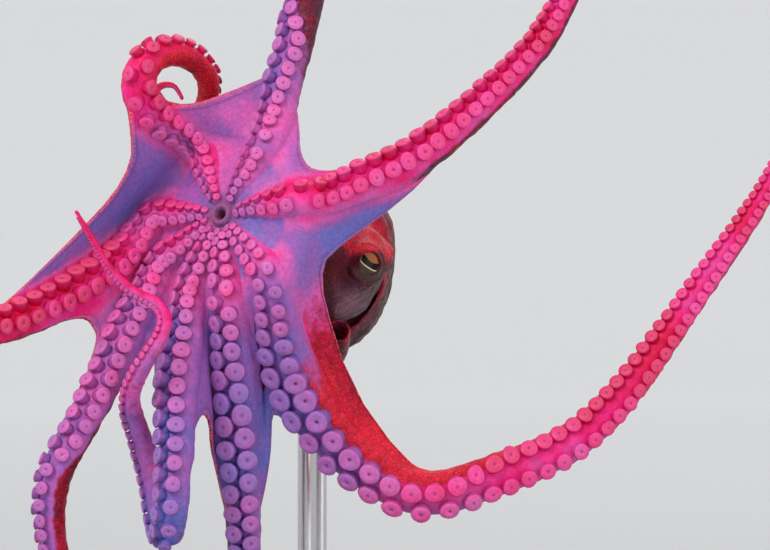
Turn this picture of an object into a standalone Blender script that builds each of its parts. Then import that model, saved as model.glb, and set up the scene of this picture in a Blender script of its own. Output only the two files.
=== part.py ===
"""Common octopus, life size, as a still museum model: it swims with its arms spread, mouth to the front,
on a plain stand of two rods and a flat base.

Metres, +Z up, the animal faces -Y. The origin is the centre of the base's underside.
Routes are given in millimetres from the mouth. Arms L1-L4 and R1-R4 are the animal's left and right ones,
counted from its back (the top) to its belly. Every arm has a route, a roll that turns its suckers about
that route, and a taper; webs span from arm to arm; head and mantle are lofted along the body's spine.
"""

import math

import bmesh
import bpy
import numpy as np
from mathutils import Matrix, Vector

MM = 0.001

# --- driving sizes ---------------------------------------------------------------------------------
MOUTH = np.array((-0.030, -0.095, 0.320))
BODY_AXIS = np.array((0.484, 0.840, -0.247))  # from the mouth through the head
CROWN_RADIUS = 39.5 * MM
CROWN_FRONT = 8.5 * MM
CROWN_BACK = 11.5 * MM
CROWN_SIDES = 18
LIPS_RADIUS = 8.5 * MM
LIPS_SIDES = 12
ARM_START = 40.0 * MM  # distance of an arm's first ring from the mouth
ROOT_WIDTH = 20.5 * MM  # of every arm where it leaves the crown
FULL_WIDTH_AT = 85 * MM  # arm length at which the root's narrowing ends
ARM_HEIGHT = 0.86  # oral-aboral height over width
TIP_WIDTH = 2.4 * MM
PIECE_GAP = 0.45 * MM
AXIS_MERGE = 1e-5  # within which a turned shape's points on its axis become one
WEB_THICKNESS = 2.8 * MM
WEB_GAP = 0.65 * MM
WEB_SEAT = 0.8 * MM  # that the arm's flat under a web is wider than the web is thick
WEB_ROWS = 8
WEB_COLUMNS = (0, 0.15, 0.38, 0.62, 0.85, 1)  # across a web, from arm to arm
WEB_TURN = math.radians(50)  # most that a web's root may leave an arm's side
WEB_FULLNESS = 0.6  # how far a web bulges as it leaves an arm
FREE_RINGS = 12  # of an arm past its webs
MIDDLE_SHARE = 0.42  # of the free arm, the rest is the tip length
RING_POINTS = (0.36, 0.64)  # where a ring's own points lie, across its face and across its back
SUCKER_SIDES = 6
CROWN_SUCKER = 0.8  # size of the suckers at the crown over that of full ones
FIRST_SUCKER = 6 * MM  # of the first from the arm's start
SUCKER_PITCH = 1.32  # spacing in a row, in rim diameters
SUCKER_HEIGHT = 0.38  # in rim diameters
SUCKER_NECK = 0.76  # radius where it leaves the arm over the rim's
SUCKER_ROOT = 0.13  # sunk in the arm, over arm width
SUCKER_CLEARANCE = math.radians(66)  # of the rows' middle from where a web meets the arm
SUCKER_RELEASE = 70 * MM  # length past the web over which its hold on the suckers ends
BODY_SIDES = 18  # of the rings of head and mantle
EYE_RADIUS = 13.5 * MM
BASE_SIZE = (0.36, 0.28, 0.018)
BASE_CORNER = 0.045
ROD_RADIUS = 5.0 * MM
ROD_SIDES = 14
REST_GAP = 0.6 * MM  # between a rod and the flesh that it carries
FOOT_RADIUS = 15 * MM
FOOT_HEIGHT = 7 * MM
FOOT_EASE = 1.5 * MM  # of its upper edge
# The rods stand under the spine: distance along it in mm and how far the flesh reaches below it there.
RODS = {"stand_rod_mantle": (196, 58.4), "stand_rod_head": (84, 37.0)}

# --- the arms, clockwise as seen from the front, from the left arm of the back pair -----------------
# direction: where it leaves the crown; width: of the full arm; web: length along which webs hold it;
# suckers: how many each row gets in these solids; rim: their diameter over the arm's width; splay: degrees
# of each row from their middle, along the web and past it; roll: (share of the length, degrees); route:
# the rest of its centre line.
ARMS = {
    "l1": dict(
        direction=64, width=26, web=66, suckers=8, rim=0.44, splay=(27, 27),
        roll=((0, -10), (0.15, -48), (0.5, -35), (1, 0)),
        route=((27, 6, 51), (31, 14, 79), (38, 24, 104), (44, 30, 123), (50, 40, 148),
               (52, 66, 179), (47, 108, 211), (35, 158, 228), (26, 205, 221), (29, 240, 198),
               (43, 272, 184), (62, 298, 190), (69, 312, 209), (58, 314, 224), (44, 304, 218)),
    ),
    "l2": dict(
        direction=12, width=27, web=90, suckers=8, rim=0.46, splay=(27, 28),
        roll=((0, 0), (0.15, -22), (0.5, -34), (1, -30)),
        route=((52, -15, 9), (70, -8, 17), (90, 0, 25), (110, 8, 35), (130, 17, 52), (151, 26, 71),
               (175, 36, 95), (188, 44, 113), (198, 50, 132), (206, 62, 156), (208, 84, 186),
               (203, 112, 215), (190, 140, 236), (173, 164, 243), (156, 180, 234), (154, 186, 218),
               (168, 184, 207), (180, 176, 213)),
    ),
    "l3": dict(
        direction=-44, width=35, web=170, suckers=12, rim=0.46, splay=(27, 40),
        roll=((0, 0), (0.12, 8), (0.24, 4), (0.34, -28), (0.5, -48), (0.62, -58), (1, -60)),
        route=((29, -20, -50), (32, -10, -70), (38, -1, -91), (51, 0, -113), (67, 0, -132),
               (84, 0, -145), (102, 0, -157), (124, 0, -158), (148, 5, -149), (170, 10, -142),
               (191, 15, -134), (213, 22, -119), (234, 30, -97), (254, 38, -71), (276, 46, -41),
               (303, 56, -5), (319, 62, 19), (337, 68, 50), (353, 70, 82), (362, 66, 115),
               (360, 56, 141), (347, 44, 158), (330, 34, 156), (325, 28, 141), (336, 26, 130)),
    ),
    "l4": dict(
        direction=-79, width=30, web=210, suckers=8, rim=0.54, splay=(24, 27),
        roll=((0, 0), (0.2, 6), (0.5, 10), (1, 0)),
        route=((5, -11, -62), (6, -6, -90), (6, -2, -115), (7, 0, -138), (8, 4, -162), (9, 8, -188),
               (9, 16, -213), (4, 34, -238), (-7, 62, -256), (-19, 98, -262), (-23, 132, -257),
               (-16, 158, -250), (-2, 174, -247), (14, 178, -254), (18, 172, -268)),
    ),
    "r4": dict(
        direction=-112, width=27, web=150, suckers=8, rim=0.50, splay=(25, 27),
        roll=((0, 0), (1, 0)),
        route=((-22, -10, -60), (-25, -23, -85), (-26, -36, -108), (-25, -46, -129),
               (-26, -54, -150), (-27, -54, -166), (-30, -44, -177), (-34, -28, -172),
               (-39, -20, -154), (-44, -22, -132), (-50, -32, -112), (-51, -44, -98),
               (-43, -56, -83), (-33, -62, -70), (-28, -62, -58), (-32, -60, -49), (-40, -60, -45),
               (-50, -62, -40), (-61, -66, -28), (-68, -72, -13), (-76, -78, 1)),
    ),
    "r3": dict(
        direction=-146, width=27, web=125, suckers=8, rim=0.46, splay=(27, 27),
        roll=((0, 0), (0.2, 30), (0.5, 40), (1, 20)),
        route=((-48, 2, -50), (-58, -16, -68), (-66, -30, -90), (-74, -38, -106),
               (-82, -45, -122), (-90, -50, -138), (-94, -50, -156), (-93, -45, -179),
               (-90, -34, -202), (-93, -12, -225), (-105, 20, -243), (-122, 56, -250),
               (-138, 88, -245), (-142, 110, -230), (-131, 122, -219), (-117, 120, -226)),
    ),
    "r2": dict(
        direction=178, width=31, web=135, suckers=8, rim=0.46, splay=(27, 27),
        roll=((0, 0), (0.2, 28), (0.5, 36), (1, 20)),
        route=((-55, 20, -14), (-66, 8, -27), (-79, -8, -38), (-94, -26, -48), (-110, -44, -57),
               (-129, -60, -64), (-151, -72, -68), (-174, -78, -68), (-197, -78, -60), (-216, -70, -46),
               (-226, -56, -28), (-223, -42, -9), (-212, -32, 2), (-197, -26, 0), (-188, -22, -13),
               (-194, -18, -27)),
    ),
    "r1": dict(
        direction=121, width=28, web=60, suckers=7, rim=0.46, splay=(27, 27),
        roll=((0, 0), (0.15, -12), (0.35, -45), (0.6, -62), (1, -40)),
        route=((-24, 18, 49), (-34, 9, 54), (-44, -1, 60), (-50, -9, 70), (-51, -11, 81),
               (-43, -4, 92), (-31, 8, 96), (-19, 19, 92), (-12, 30, 80), (-15, 42, 67), (-26, 52, 59),
               (-39, 60, 57), (-49, 68, 64), (-53, 75, 75), (-47, 80, 84), (-37, 83, 84),
               (-34, 85, 75)),
    ),
}
# For each web: how many of the arms' web rings it spans, how far its margin dips towards the mouth near
# the first arm and near the second, as a share of that length, and how squarely it does so.
WEBS = {
    ("l1", "l2"): (4, 0.60, 0.60, 2.2),
    ("l2", "l3"): (8, 0.80, 0.74, 2.5),
    ("l3", "l4"): (5, 0.30, 0.16, 3.0),
    ("l4", "r4"): (5, 0.24, 0.24, 3.0),
    ("r4", "r3"): (5, 0.34, 0.30, 3.0),
    ("r3", "r2"): (6, 0.26, 0.16, 4.0),
    ("r2", "r1"): (8, 0.40, 0.40, 2.4),
    ("r1", "l1"): (6, 0.26, 0.10, 3.0),
}

# --- head and mantle: (distance along the spine, half width, half height, squareness) ---------------
SPINE = ((0, 0, 0), (26, 42, -13), (53, 85, -26), (52, 125, -27), (46, 185, -24), (42, 240, -30),
         (41, 290, -37))
HEAD_RINGS = ((13, 35, 35, 2.0), (25, 34, 34, 2.0), (42, 35, 34, 2.0), (58, 37, 35, 2.1),
              (76, 39, 36, 2.1), (90, 38, 35, 2.1), (101, 36, 35, 2.0), (113, 34, 34, 2.0),
              (131, 31, 33, 2.0))
MANTLE_RINGS = ((131.5, 37, 41, 2.2), (136, 42, 47, 2.2), (152, 45, 53, 2.3), (176, 47, 57, 2.4),
                (204, 47, 59, 2.4), (232, 44, 56, 2.3), (256, 37, 49, 2.2), (276, 27, 37, 2.1),
                (290, 16, 21, 2.0), (296, 6, 8, 2.0))
SHOULDER = 0.12  # how much wider the mantle is at its top than half way down, and narrower at its foot
# Places beside the spine: (distance along it, degrees above the side, distance from it)
EYE_PLACE = (80, -11, 40)
BROW_PLACE = (100, 5, 48)
# Swellings of the head on both sides: (place, height, reach)
SWELLINGS = ((EYE_PLACE, 7, 20), (BROW_PLACE, 15, 13))
FUNNEL_ROUTE = ((54, 103, -80), (57, 93, -79), (60, 76, -74), (62, 59, -66))
FUNNEL_RADII = (11.0, 10.5, 8.5, 7.0)  # at the route's points
FUNNEL_SPAN = 3  # rings between two of them
FUNNEL_SIDES = 10

COLOURS = {
    "skin": (0.42, 0.09, 0.08),
    "oral_flesh": (0.80, 0.45, 0.66),
    "web": (0.52, 0.38, 0.66),
    "eye": (0.45, 0.30, 0.12),
    "mouth": (0.30, 0.18, 0.22),
    "stand_wood": (0.12, 0.11, 0.11),
    "stand_steel": (0.55, 0.55, 0.57),
}


# --- geometry ---------------------------------------------------------------------------------------
def unit(v):
    v = np.asarray(v, float)
    return v / np.linalg.norm(v, axis=-1, keepdims=True)


def crown_axes():
    """Right and up of the crown's plane, as seen from the front."""
    back = unit(BODY_AXIS)
    up = unit(np.array((0, 0, 1.0)) - back[2] * back)
    return np.cross(back, up), up


def smooth_line(points, per_span=10):
    """A cubic B-spline led by the points, from the first to the last, as closely spaced points."""
    p = np.asarray(points, float)
    p = np.vstack((2 * p[0] - p[1], p, 2 * p[-1] - p[-2]))
    t = np.linspace(0, 1, per_span, endpoint=False)[:, None]
    basis = ((1 - t) ** 3, 3 * t**3 - 6 * t**2 + 4, 1 + 3 * t + 3 * t**2 - 3 * t**3, t**3)
    spans = [sum(w * q for w, q in zip(basis, p[i : i + 4])) / 6 for i in range(len(p) - 3)]
    return np.vstack((*spans, p[-2]))


def lengths_along(line):
    steps = np.linalg.norm(np.diff(line, axis=0), axis=1)
    return np.concatenate(((0.0,), np.cumsum(steps)))


def sample(values, at, where):
    """Each column of values, known at the lengths at, read at the lengths where."""
    return np.stack([np.interp(where, at, column) for column in values.T], axis=1)


def smoothstep(x):
    x = np.clip(x, 0, 1)
    return x * x * (3 - 2 * x)


class Arm:
    """An arm's centre line with a carried frame, in which angles run from the side of the next arm (0),
    over the face with the suckers (90), to the side of the arm before (180)."""

    def __init__(self, name):
        spec = ARMS[name]
        right, up = crown_axes()
        angle = math.radians(spec["direction"])
        out = math.cos(angle) * right + math.sin(angle) * up
        first = [MOUTH + out * r for r in (ARM_START, ARM_START + 10 * MM)]
        self.name = name
        self.line = smooth_line(first + [MOUTH + MM * np.array(p) for p in spec["route"]])
        self.at = lengths_along(self.line)
        self.length = self.at[-1]
        self.width = spec["width"] * MM
        self.web = spec["web"] * MM
        self.suckers = spec["suckers"]
        self.rim = spec["rim"]
        self.splay = spec["splay"]
        self.roll = spec["roll"]
        self.tangent = unit(np.gradient(self.line, self.at, axis=0))
        self.tangent[0] = out
        oral = [-unit(BODY_AXIS)]
        for t in self.tangent[1:]:
            oral.append(unit(oral[-1] - np.dot(oral[-1], t) * t))
        self.oral = np.array(oral)
        self.side = np.cross(self.tangent, self.oral)
        free = self.web + (self.length - self.web) * np.linspace(0, 1, FREE_RINGS + 1)[1:]
        self.web_stations = np.linspace(0, self.web, WEB_ROWS + 1)
        self.stations = np.concatenate((self.web_stations, free))

    def face_neighbours(self, before, after):
        """Finds, at each web station, the angles at which the two webs leave."""
        point, _, oral, side = self.frame(self.web_stations)
        self.web_angles = []
        for other, middle in ((after, 0), (before, np.pi)):
            way = other.frame(other.web_stations)[0] - point
            angle = np.arctan2((way * oral).sum(1), (way * side).sum(1)) - middle
            angle = np.clip(np.arctan2(np.sin(angle), np.cos(angle)), -WEB_TURN, WEB_TURN)
            for _ in range(4):
                angle[1:-1] = (angle[:-2] + 2 * angle[1:-1] + angle[2:]) / 4
            self.web_angles.append(middle + angle)

    def frame(self, s):
        """Point, tangent, oral and side direction at each length in s."""
        s = np.atleast_1d(s)
        return (sample(self.line, self.at, s),) + tuple(
            unit(sample(d, self.at, s)) for d in (self.tangent, self.oral, self.side)
        )

    def facet_frame(self, s):
        """The same, along the straight faces between the rings."""
        point, _, oral, side = (sample(v, self.stations, np.atleast_1d(s)) for v in self.frame(self.stations))
        return point, unit(np.cross(oral, side)), unit(oral), unit(side)

    def width_at(self, s):
        taper = TIP_WIDTH + (self.width - TIP_WIDTH) * (1 - s / self.length)
        return ROOT_WIDTH + (taper - ROOT_WIDTH) * smoothstep(s / FULL_WIDTH_AT)

    def sucker_angle(self, s):
        """Where the middle of the suckers' two rows lies, kept clear of the webs."""
        shares, degrees = zip(*self.roll)
        angle = np.pi / 2 - np.radians(np.interp(s / self.length, shares, degrees))
        low, high = (np.interp(s, self.web_stations, a) for a in self.web_angles)
        clear = SUCKER_CLEARANCE - np.pi * smoothstep((s - self.web) / SUCKER_RELEASE)
        return np.clip(angle, low + clear, high - clear)

    def sucker_splay(self, s):
        """Angle of each row from their middle."""
        near, far = self.splay
        return math.radians(near + (far - near) * float(smoothstep((s - self.web) / SUCKER_RELEASE)))

    def sucker_lengths(self):
        """(length, rim radius) of one row's suckers, spaced by their own size from the crown outwards."""
        s, found = FIRST_SUCKER, []
        for _ in range(self.suckers):
            grown = CROWN_SUCKER + (1 - CROWN_SUCKER) * smoothstep(s / FULL_WIDTH_AT)
            radius = 0.5 * self.rim * grown * float(self.width_at(s))
            found.append((s, radius))
            s += 2 * SUCKER_PITCH * radius
        return found

    def radius(self, s, angle):
        """Of the oval section. Past the last modelled sucker it rises to their rims."""
        w = self.width_at(s)
        turn = angle - self.sucker_angle(s)
        oval = 0.5 * w / np.hypot(np.cos(turn) / ARM_HEIGHT, np.sin(turn))
        rims = np.where(s > self.sucker_lengths()[-1][0], SUCKER_HEIGHT * self.rim * w, 0)
        return oval + rims * np.clip(np.cos(turn), 0, 1) ** 2

    def rings(self, s):
        """Section rings at the lengths s. The points are a pair where each web meets the arm, and two
        between them on the face with the suckers and on the back."""
        point, _, oral, side = self.frame(s)
        low, high = (np.interp(s, self.web_stations, a) for a in self.web_angles)
        pair = np.arcsin((WEB_THICKNESS + WEB_SEAT) / self.width_at(np.minimum(s, self.web)))
        face = [low + share * (high - low) for share in RING_POINTS]
        back = [high + share * (2 * np.pi + low - high) for share in RING_POINTS]
        angles = (low - pair, low + pair, *face, high - pair, high + pair, *back)
        return [
            point + self.radius(s, a)[:, None] * (np.cos(a)[:, None] * side + np.sin(a)[:, None] * oral)
            for a in angles
        ]


def web_rows(first, second):
    """The web's middle surface: rows from the crown to the margin, each leaving both arms straight out of
    their sides and curving between, with the way of its thickness at each point."""
    rows, dip_a, dip_b, square = WEBS[first.name, second.name]
    u = np.array(WEB_COLUMNS)
    dip = dip_a + (dip_b - dip_a) * smoothstep(u)
    reach = 1 - dip * (1 - np.abs(2 * u - 1) ** square)
    share = np.arange(rows + 1)[:, None] / WEB_ROWS * reach[None, :]
    ends, outs, ways = [], [], []
    for arm, corners in ((first, (0, 1)), (second, (5, 4))):
        rings = arm.rings(arm.web_stations)
        low, high = (rings[i] for i in corners)
        middle = 0.5 * (low + high)
        out = unit(middle - arm.frame(arm.web_stations)[0])
        s = (share * arm.web).ravel()
        ends.append(sample(middle + out * WEB_GAP, arm.web_stations, s))
        outs.append(unit(sample(out, arm.web_stations, s)))
        ways.append(unit(sample(unit(high - low), arm.web_stations, s)))
    u = np.tile(u, rows + 1)[:, None]
    pull = WEB_FULLNESS * np.linalg.norm(ends[1] - ends[0], axis=1, keepdims=True)
    middle = (
        (2 * u**3 - 3 * u**2 + 1) * ends[0] + (3 * u**2 - 2 * u**3) * ends[1]
        + pull * ((u**3 - 2 * u**2 + u) * outs[0] + (u**2 - u**3) * outs[1])
    )
    return middle, unit(ways[0] * (1 - u) + ways[1] * u)


def superellipse(count, half_width, half_height, power):
    """Points round an oval, from its right side upwards."""
    turn = np.linspace(0, 2 * np.pi, count, endpoint=False)
    c, s = (np.sign(v) * np.abs(v) ** (2 / power) for v in (np.cos(turn), np.sin(turn)))
    return half_width * c, half_height * s


class Spine:
    """The body's centre line, with its right and up directions."""

    def __init__(self):
        self.line = MOUTH + MM * smooth_line(SPINE)
        self.at = lengths_along(self.line)
        self.tangent = unit(np.gradient(self.line, self.at, axis=0))
        up = np.array((0, 0, 1.0)) - self.tangent[:, 2:] * self.tangent
        self.up = unit(up)
        self.right = np.cross(self.tangent, self.up)

    def frame(self, s):
        return [sample(v, self.at, np.atleast_1d(s)) for v in (self.line, self.right, self.up)]

    def rings(self, sizes, count, shoulder=0):
        """Rings of a loft, one for each (length, half width, half height, squareness). With a shoulder
        they are wider at the top and narrower at the foot, by that share."""
        rings = []
        for at, half_width, half_height, power in sizes:
            point, right, up = (v[0] for v in self.frame(at * MM))
            x, z = superellipse(count, half_width * MM, half_height * MM, power)
            x = x * (1 + shoulder * z / (half_height * MM))
            rings.append(point + x[:, None] * right + z[:, None] * up)
        return rings


# --- Blender objects --------------------------------------------------------------------------------
def clear_scene():
    for obj in list(bpy.data.objects):
        bpy.data.objects.remove(obj)


def material(name, metallic=0.0, roughness=0.5):
    made = bpy.data.materials.get(name)
    if made is None:
        made = bpy.data.materials.new(name)
        made.use_nodes = True
        shader = made.node_tree.nodes["Principled BSDF"]
        shader.inputs["Base Color"].default_value = (*COLOURS[name], 1)
        shader.inputs["Roughness"].default_value = roughness
        shader.inputs["Metallic"].default_value = metallic
    return made


def collection(name, shown=True):
    made = bpy.data.collections.new(name)
    bpy.context.scene.collection.children.link(made)
    made.hide_render = not shown
    return made


def mesh_object(name, points, faces, group, finish, smooth=True):
    mesh = bpy.data.meshes.new(name)
    mesh.from_pydata([tuple(p) for p in points], [], [tuple(f) for f in faces])
    bm = bmesh.new()
    bm.from_mesh(mesh)
    bmesh.ops.recalc_face_normals(bm, faces=bm.faces)
    bm.to_mesh(mesh)
    bm.free()
    if smooth:
        mesh.shade_smooth()
        mesh.set_sharp_from_angle(angle=math.radians(50))
    if finish:
        mesh.materials.append(material(finish))
    obj = bpy.data.objects.new(name, mesh)
    group.objects.link(obj)
    return obj


def loft(name, rings, group, finish):
    """A closed solid through rings of equal point counts, capped at both ends."""
    count, rows = len(rings[0]), len(rings)
    points = np.vstack(rings)
    faces = [
        (r * count + i, r * count + (i + 1) % count, (r + 1) * count + (i + 1) % count, (r + 1) * count + i)
        for r in range(rows - 1)
        for i in range(count)
    ]
    faces.append(range(count))
    faces.append(range((rows - 1) * count, rows * count))
    return mesh_object(name, points, faces, group, finish)


def boolean(obj, other, operation):
    other.hide_render = True
    other.display_type = "WIRE"
    modifier = obj.modifiers.new(operation.title(), "BOOLEAN")
    modifier.operation = operation
    modifier.object = other
    modifier.solver = "EXACT"
    modifier.use_self = operation == "UNION"


def add_suckers(name, arm, low, high, group):
    """Two staggered rows of flared cups between two lengths of the arm, as one mesh."""
    bm = bmesh.new()
    for row in (-1, 1):
        for s, radius in arm.sucker_lengths():
            s += SUCKER_PITCH * radius if row > 0 else 0
            w = float(arm.width_at(s))
            if not low + radius < s < high - radius:
                continue
            point, tangent, oral, side = (v[0] for v in arm.facet_frame(s))
            angle = arm.sucker_angle(s) + row * arm.sucker_splay(s)
            axis = math.cos(angle) * side + math.sin(angle) * oral
            root = SUCKER_ROOT * w
            depth = root + 2 * SUCKER_HEIGHT * radius
            middle = point + axis * (arm.radius(s, angle) - root + depth / 2)
            turn = Matrix((tangent, np.cross(axis, tangent), axis)).transposed().to_4x4()
            bmesh.ops.create_cone(
                bm, cap_ends=True, segments=SUCKER_SIDES, radius1=SUCKER_NECK * radius, radius2=radius,
                depth=depth, matrix=Matrix.Translation(Vector(middle)) @ turn,
            )
    if not bm.verts:
        bm.free()
        return None
    mesh = bpy.data.meshes.new(name)
    bm.to_mesh(mesh)
    bm.free()
    obj = bpy.data.objects.new(name, mesh)
    group.objects.link(obj)
    return obj


def make_arm(arm, body, cutters):
    """Three lengths, base, middle and tip, a small gap apart."""
    stations = arm.stations
    middle_end = WEB_ROWS + max(2, round(FREE_RINGS * MIDDLE_SHARE))
    cuts = (0, WEB_ROWS, middle_end, len(stations) - 1)
    for part, (a, b) in zip(("base", "middle", "tip"), zip(cuts[:-1], cuts[1:])):
        s = stations[a : b + 1].copy()
        if a:
            s[0] += PIECE_GAP
        rings = np.stack(arm.rings(s), axis=1)
        name = f"arm_{arm.name}_{part}"
        obj = loft(name, list(rings), body, "oral_flesh")
        cups = add_suckers(f"cups_{arm.name}_{part}", arm, s[0], s[-1], cutters)
        if cups:
            boolean(obj, cups, "UNION")


def make_web(first, second, body):
    """A thin closed sheet between two arms' sides."""
    middle, way = web_rows(first, second)
    points = np.vstack((middle + way * WEB_THICKNESS / 2, middle - way * WEB_THICKNESS / 2))
    across, count = len(WEB_COLUMNS), len(middle)
    rows = count // across - 1
    faces = []
    for r in range(rows):
        for c in range(across - 1):
            a = r * across + c
            quad = (a, a + 1, a + across + 1, a + across)
            faces.append(quad)
            faces.append(tuple(count + i for i in reversed(quad)))
    rim = list(range(across))
    rim += [r * across + across - 1 for r in range(1, rows + 1)]
    rim += [rows * across + c for c in range(across - 2, -1, -1)]
    rim += [r * across for r in range(rows - 1, 0, -1)]
    faces += [(a, count + a, count + b, b) for a, b in zip(rim, rim[1:] + rim[:1])]
    mesh_object(f"web_{first.name}_{second.name}", points, faces, body, "web")


def crown_place():
    right, up = crown_axes()
    turn = Matrix((right, up, -unit(BODY_AXIS))).transposed().to_4x4()
    return Matrix.Translation(Vector(MOUTH)) @ turn


def make_turned(name, profile, sides, place, body, finish):
    """A solid of revolution: profile of (radius, height) down its outer side, closed to its axis."""
    outline = [(0, profile[0][1]), *profile, (0, profile[-1][1])]
    mesh = bpy.data.meshes.new(name)
    edges = [(i, i + 1) for i in range(len(outline) - 1)]
    mesh.from_pydata([(radius, 0, height) for radius, height in outline], edges, [])
    mesh.materials.append(material(finish))
    obj = bpy.data.objects.new(name, mesh)
    obj.matrix_world = place
    body.objects.link(obj)
    screw = obj.modifiers.new("Turn", "SCREW")
    screw.steps = screw.render_steps = sides
    screw.use_merge_vertices = True
    screw.merge_threshold = AXIS_MERGE


def make_crown(body):
    """The disc where the arms join, dished towards the mouth, and the ring of the lips on it."""
    rim, front, back = CROWN_RADIUS, CROWN_FRONT, CROWN_BACK
    dish = 0.62 * front
    profile = ((0.25 * rim, dish), (0.5 * rim, front), (0.93 * rim, front), (rim, 0.6 * front),
               (rim, -0.6 * back), (0.95 * rim, -back))
    make_turned("crown", profile, CROWN_SIDES, crown_place(), body, "oral_flesh")
    lift = dish + PIECE_GAP
    lips = ((LIPS_RADIUS - 5 * MM, lift + 3.5 * MM), (LIPS_RADIUS - 2 * MM, lift + 4.5 * MM),
            (LIPS_RADIUS, lift + 2 * MM), (LIPS_RADIUS - 0.8 * MM, lift))
    make_turned("mouth", lips, LIPS_SIDES, crown_place(), body, "mouth")


def beside(spine, place, side):
    """A place beside the spine, on the left (side 1) or the right (side -1)."""
    at, degrees, distance = place
    point, right, up = (v[0] for v in spine.frame(at * MM))
    tilt = math.radians(degrees)
    return point + distance * MM * (side * math.cos(tilt) * right + math.sin(tilt) * up)


def make_head(spine, body, cutters):
    """The head's loft swells over the eyes and is cut to seat the eyeballs."""
    rings = spine.rings(HEAD_RINGS, BODY_SIDES)
    for ring, (at, *_) in zip(rings, HEAD_RINGS):
        middle = spine.frame(at * MM)[0][0]
        outward = unit(ring - middle)
        for place, height, reach in SWELLINGS:
            for side in (1, -1):
                away = np.linalg.norm(ring - beside(spine, place, side), axis=1) / (reach * MM)
                ring += outward * (height * MM * np.exp(-(away**2)))[:, None]
    head = loft("head", rings, body, "skin")
    centres = {"left": beside(spine, EYE_PLACE, 1), "right": beside(spine, EYE_PLACE, -1)}
    for side, centre in centres.items():
        for name, radius, group in ((f"eye_{side}", EYE_RADIUS, body),
                                    (f"socket_{side}", EYE_RADIUS + PIECE_GAP, cutters)):
            bm = bmesh.new()
            bmesh.ops.create_uvsphere(bm, u_segments=12, v_segments=7, radius=radius)
            mesh = bpy.data.meshes.new(name)
            bm.to_mesh(mesh)
            bm.free()
            mesh.shade_smooth()
            ball = bpy.data.objects.new(name, mesh)
            ball.location = centre
            group.objects.link(ball)
            if group is cutters:
                boolean(head, ball, "DIFFERENCE")
            else:
                mesh.materials.append(material("eye", roughness=0.1))


def make_mantle(spine, body):
    loft("mantle", spine.rings(MANTLE_RINGS, BODY_SIDES, SHOULDER), body, "skin")


def make_funnel(body):
    """The siphon: a tapering tube under the head, with a dished mouth."""
    line = MOUTH + MM * smooth_line(FUNNEL_ROUTE, FUNNEL_SPAN)
    at = lengths_along(line)
    tangent = unit(np.gradient(line, at, axis=0))
    right = unit(np.cross(tangent, (0, 0, 1.0)))
    up = np.cross(right, tangent)
    radius = MM * np.interp(at, at[::FUNNEL_SPAN], FUNNEL_RADII)
    turn = np.linspace(0, 2 * np.pi, FUNNEL_SIDES, endpoint=False)
    rings = [
        point + r * (np.cos(turn)[:, None] * x + np.sin(turn)[:, None] * y)
        for point, r, x, y in zip(line, radius, right, up)
    ]
    rings.append(line[-1] + 0.72 * (rings[-1] - line[-1]))
    rings.append(line[-1] + 0.83 * (rings[-1] - line[-1]) - 4 * MM * tangent[-1])
    loft("funnel", rings, body, "skin")


def make_stand(spine, body):
    """A flat base with rounded corners and two rods, one under the mantle and one under the head."""
    bm = bmesh.new()
    bmesh.ops.create_cube(bm, size=1, matrix=Matrix.Diagonal((*BASE_SIZE, 1)))
    upright = [e for e in bm.edges if abs(e.verts[0].co.z - e.verts[1].co.z) > BASE_SIZE[2] / 2]
    bmesh.ops.bevel(bm, geom=upright, offset=BASE_CORNER, segments=5, affect="EDGES", profile=0.5)
    bmesh.ops.translate(bm, verts=bm.verts, vec=(0, 0, BASE_SIZE[2] / 2))
    mesh = bpy.data.meshes.new("stand_base")
    bm.to_mesh(mesh)
    bm.free()
    mesh.materials.append(material("stand_wood", roughness=0.4))
    body.objects.link(bpy.data.objects.new("stand_base", mesh))
    material("stand_steel", metallic=1.0, roughness=0.25)
    low = BASE_SIZE[2] + PIECE_GAP
    foot = low + FOOT_HEIGHT
    for name, (at, reach) in RODS.items():
        x, y, z = spine.frame(at * MM)[0][0]
        top = z - reach * MM - REST_GAP
        profile = ((ROD_RADIUS, top), (ROD_RADIUS, foot), (FOOT_RADIUS - FOOT_EASE, foot),
                   (FOOT_RADIUS, foot - FOOT_EASE), (FOOT_RADIUS, low))
        make_turned(name, profile, ROD_SIDES, Matrix.Translation((x, y, 0)), body, "stand_steel")


def main():
    clear_scene()
    body = collection("octopus")
    cutters = collection("cutters", shown=False)
    arms = [Arm(name) for name in ARMS]
    for before, arm, after in zip(arms[-1:] + arms, arms, arms[1:] + arms[:1]):
        arm.face_neighbours(before, after)
    for arm, after in zip(arms, arms[1:] + arms[:1]):
        make_arm(arm, body, cutters)
        make_web(arm, after, body)
    spine = Spine()
    make_crown(body)
    make_head(spine, body, cutters)
    make_mantle(spine, body)
    make_funnel(body)
    make_stand(spine, body)


main()
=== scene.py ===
"""Looks of a life-size octopus on its display stand: one skin over all the flesh, with the suckers, the eyes,
the beak and the stand as pieces of their own. Lengths are in metres, and MM turns millimetres into them."""

import math

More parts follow.
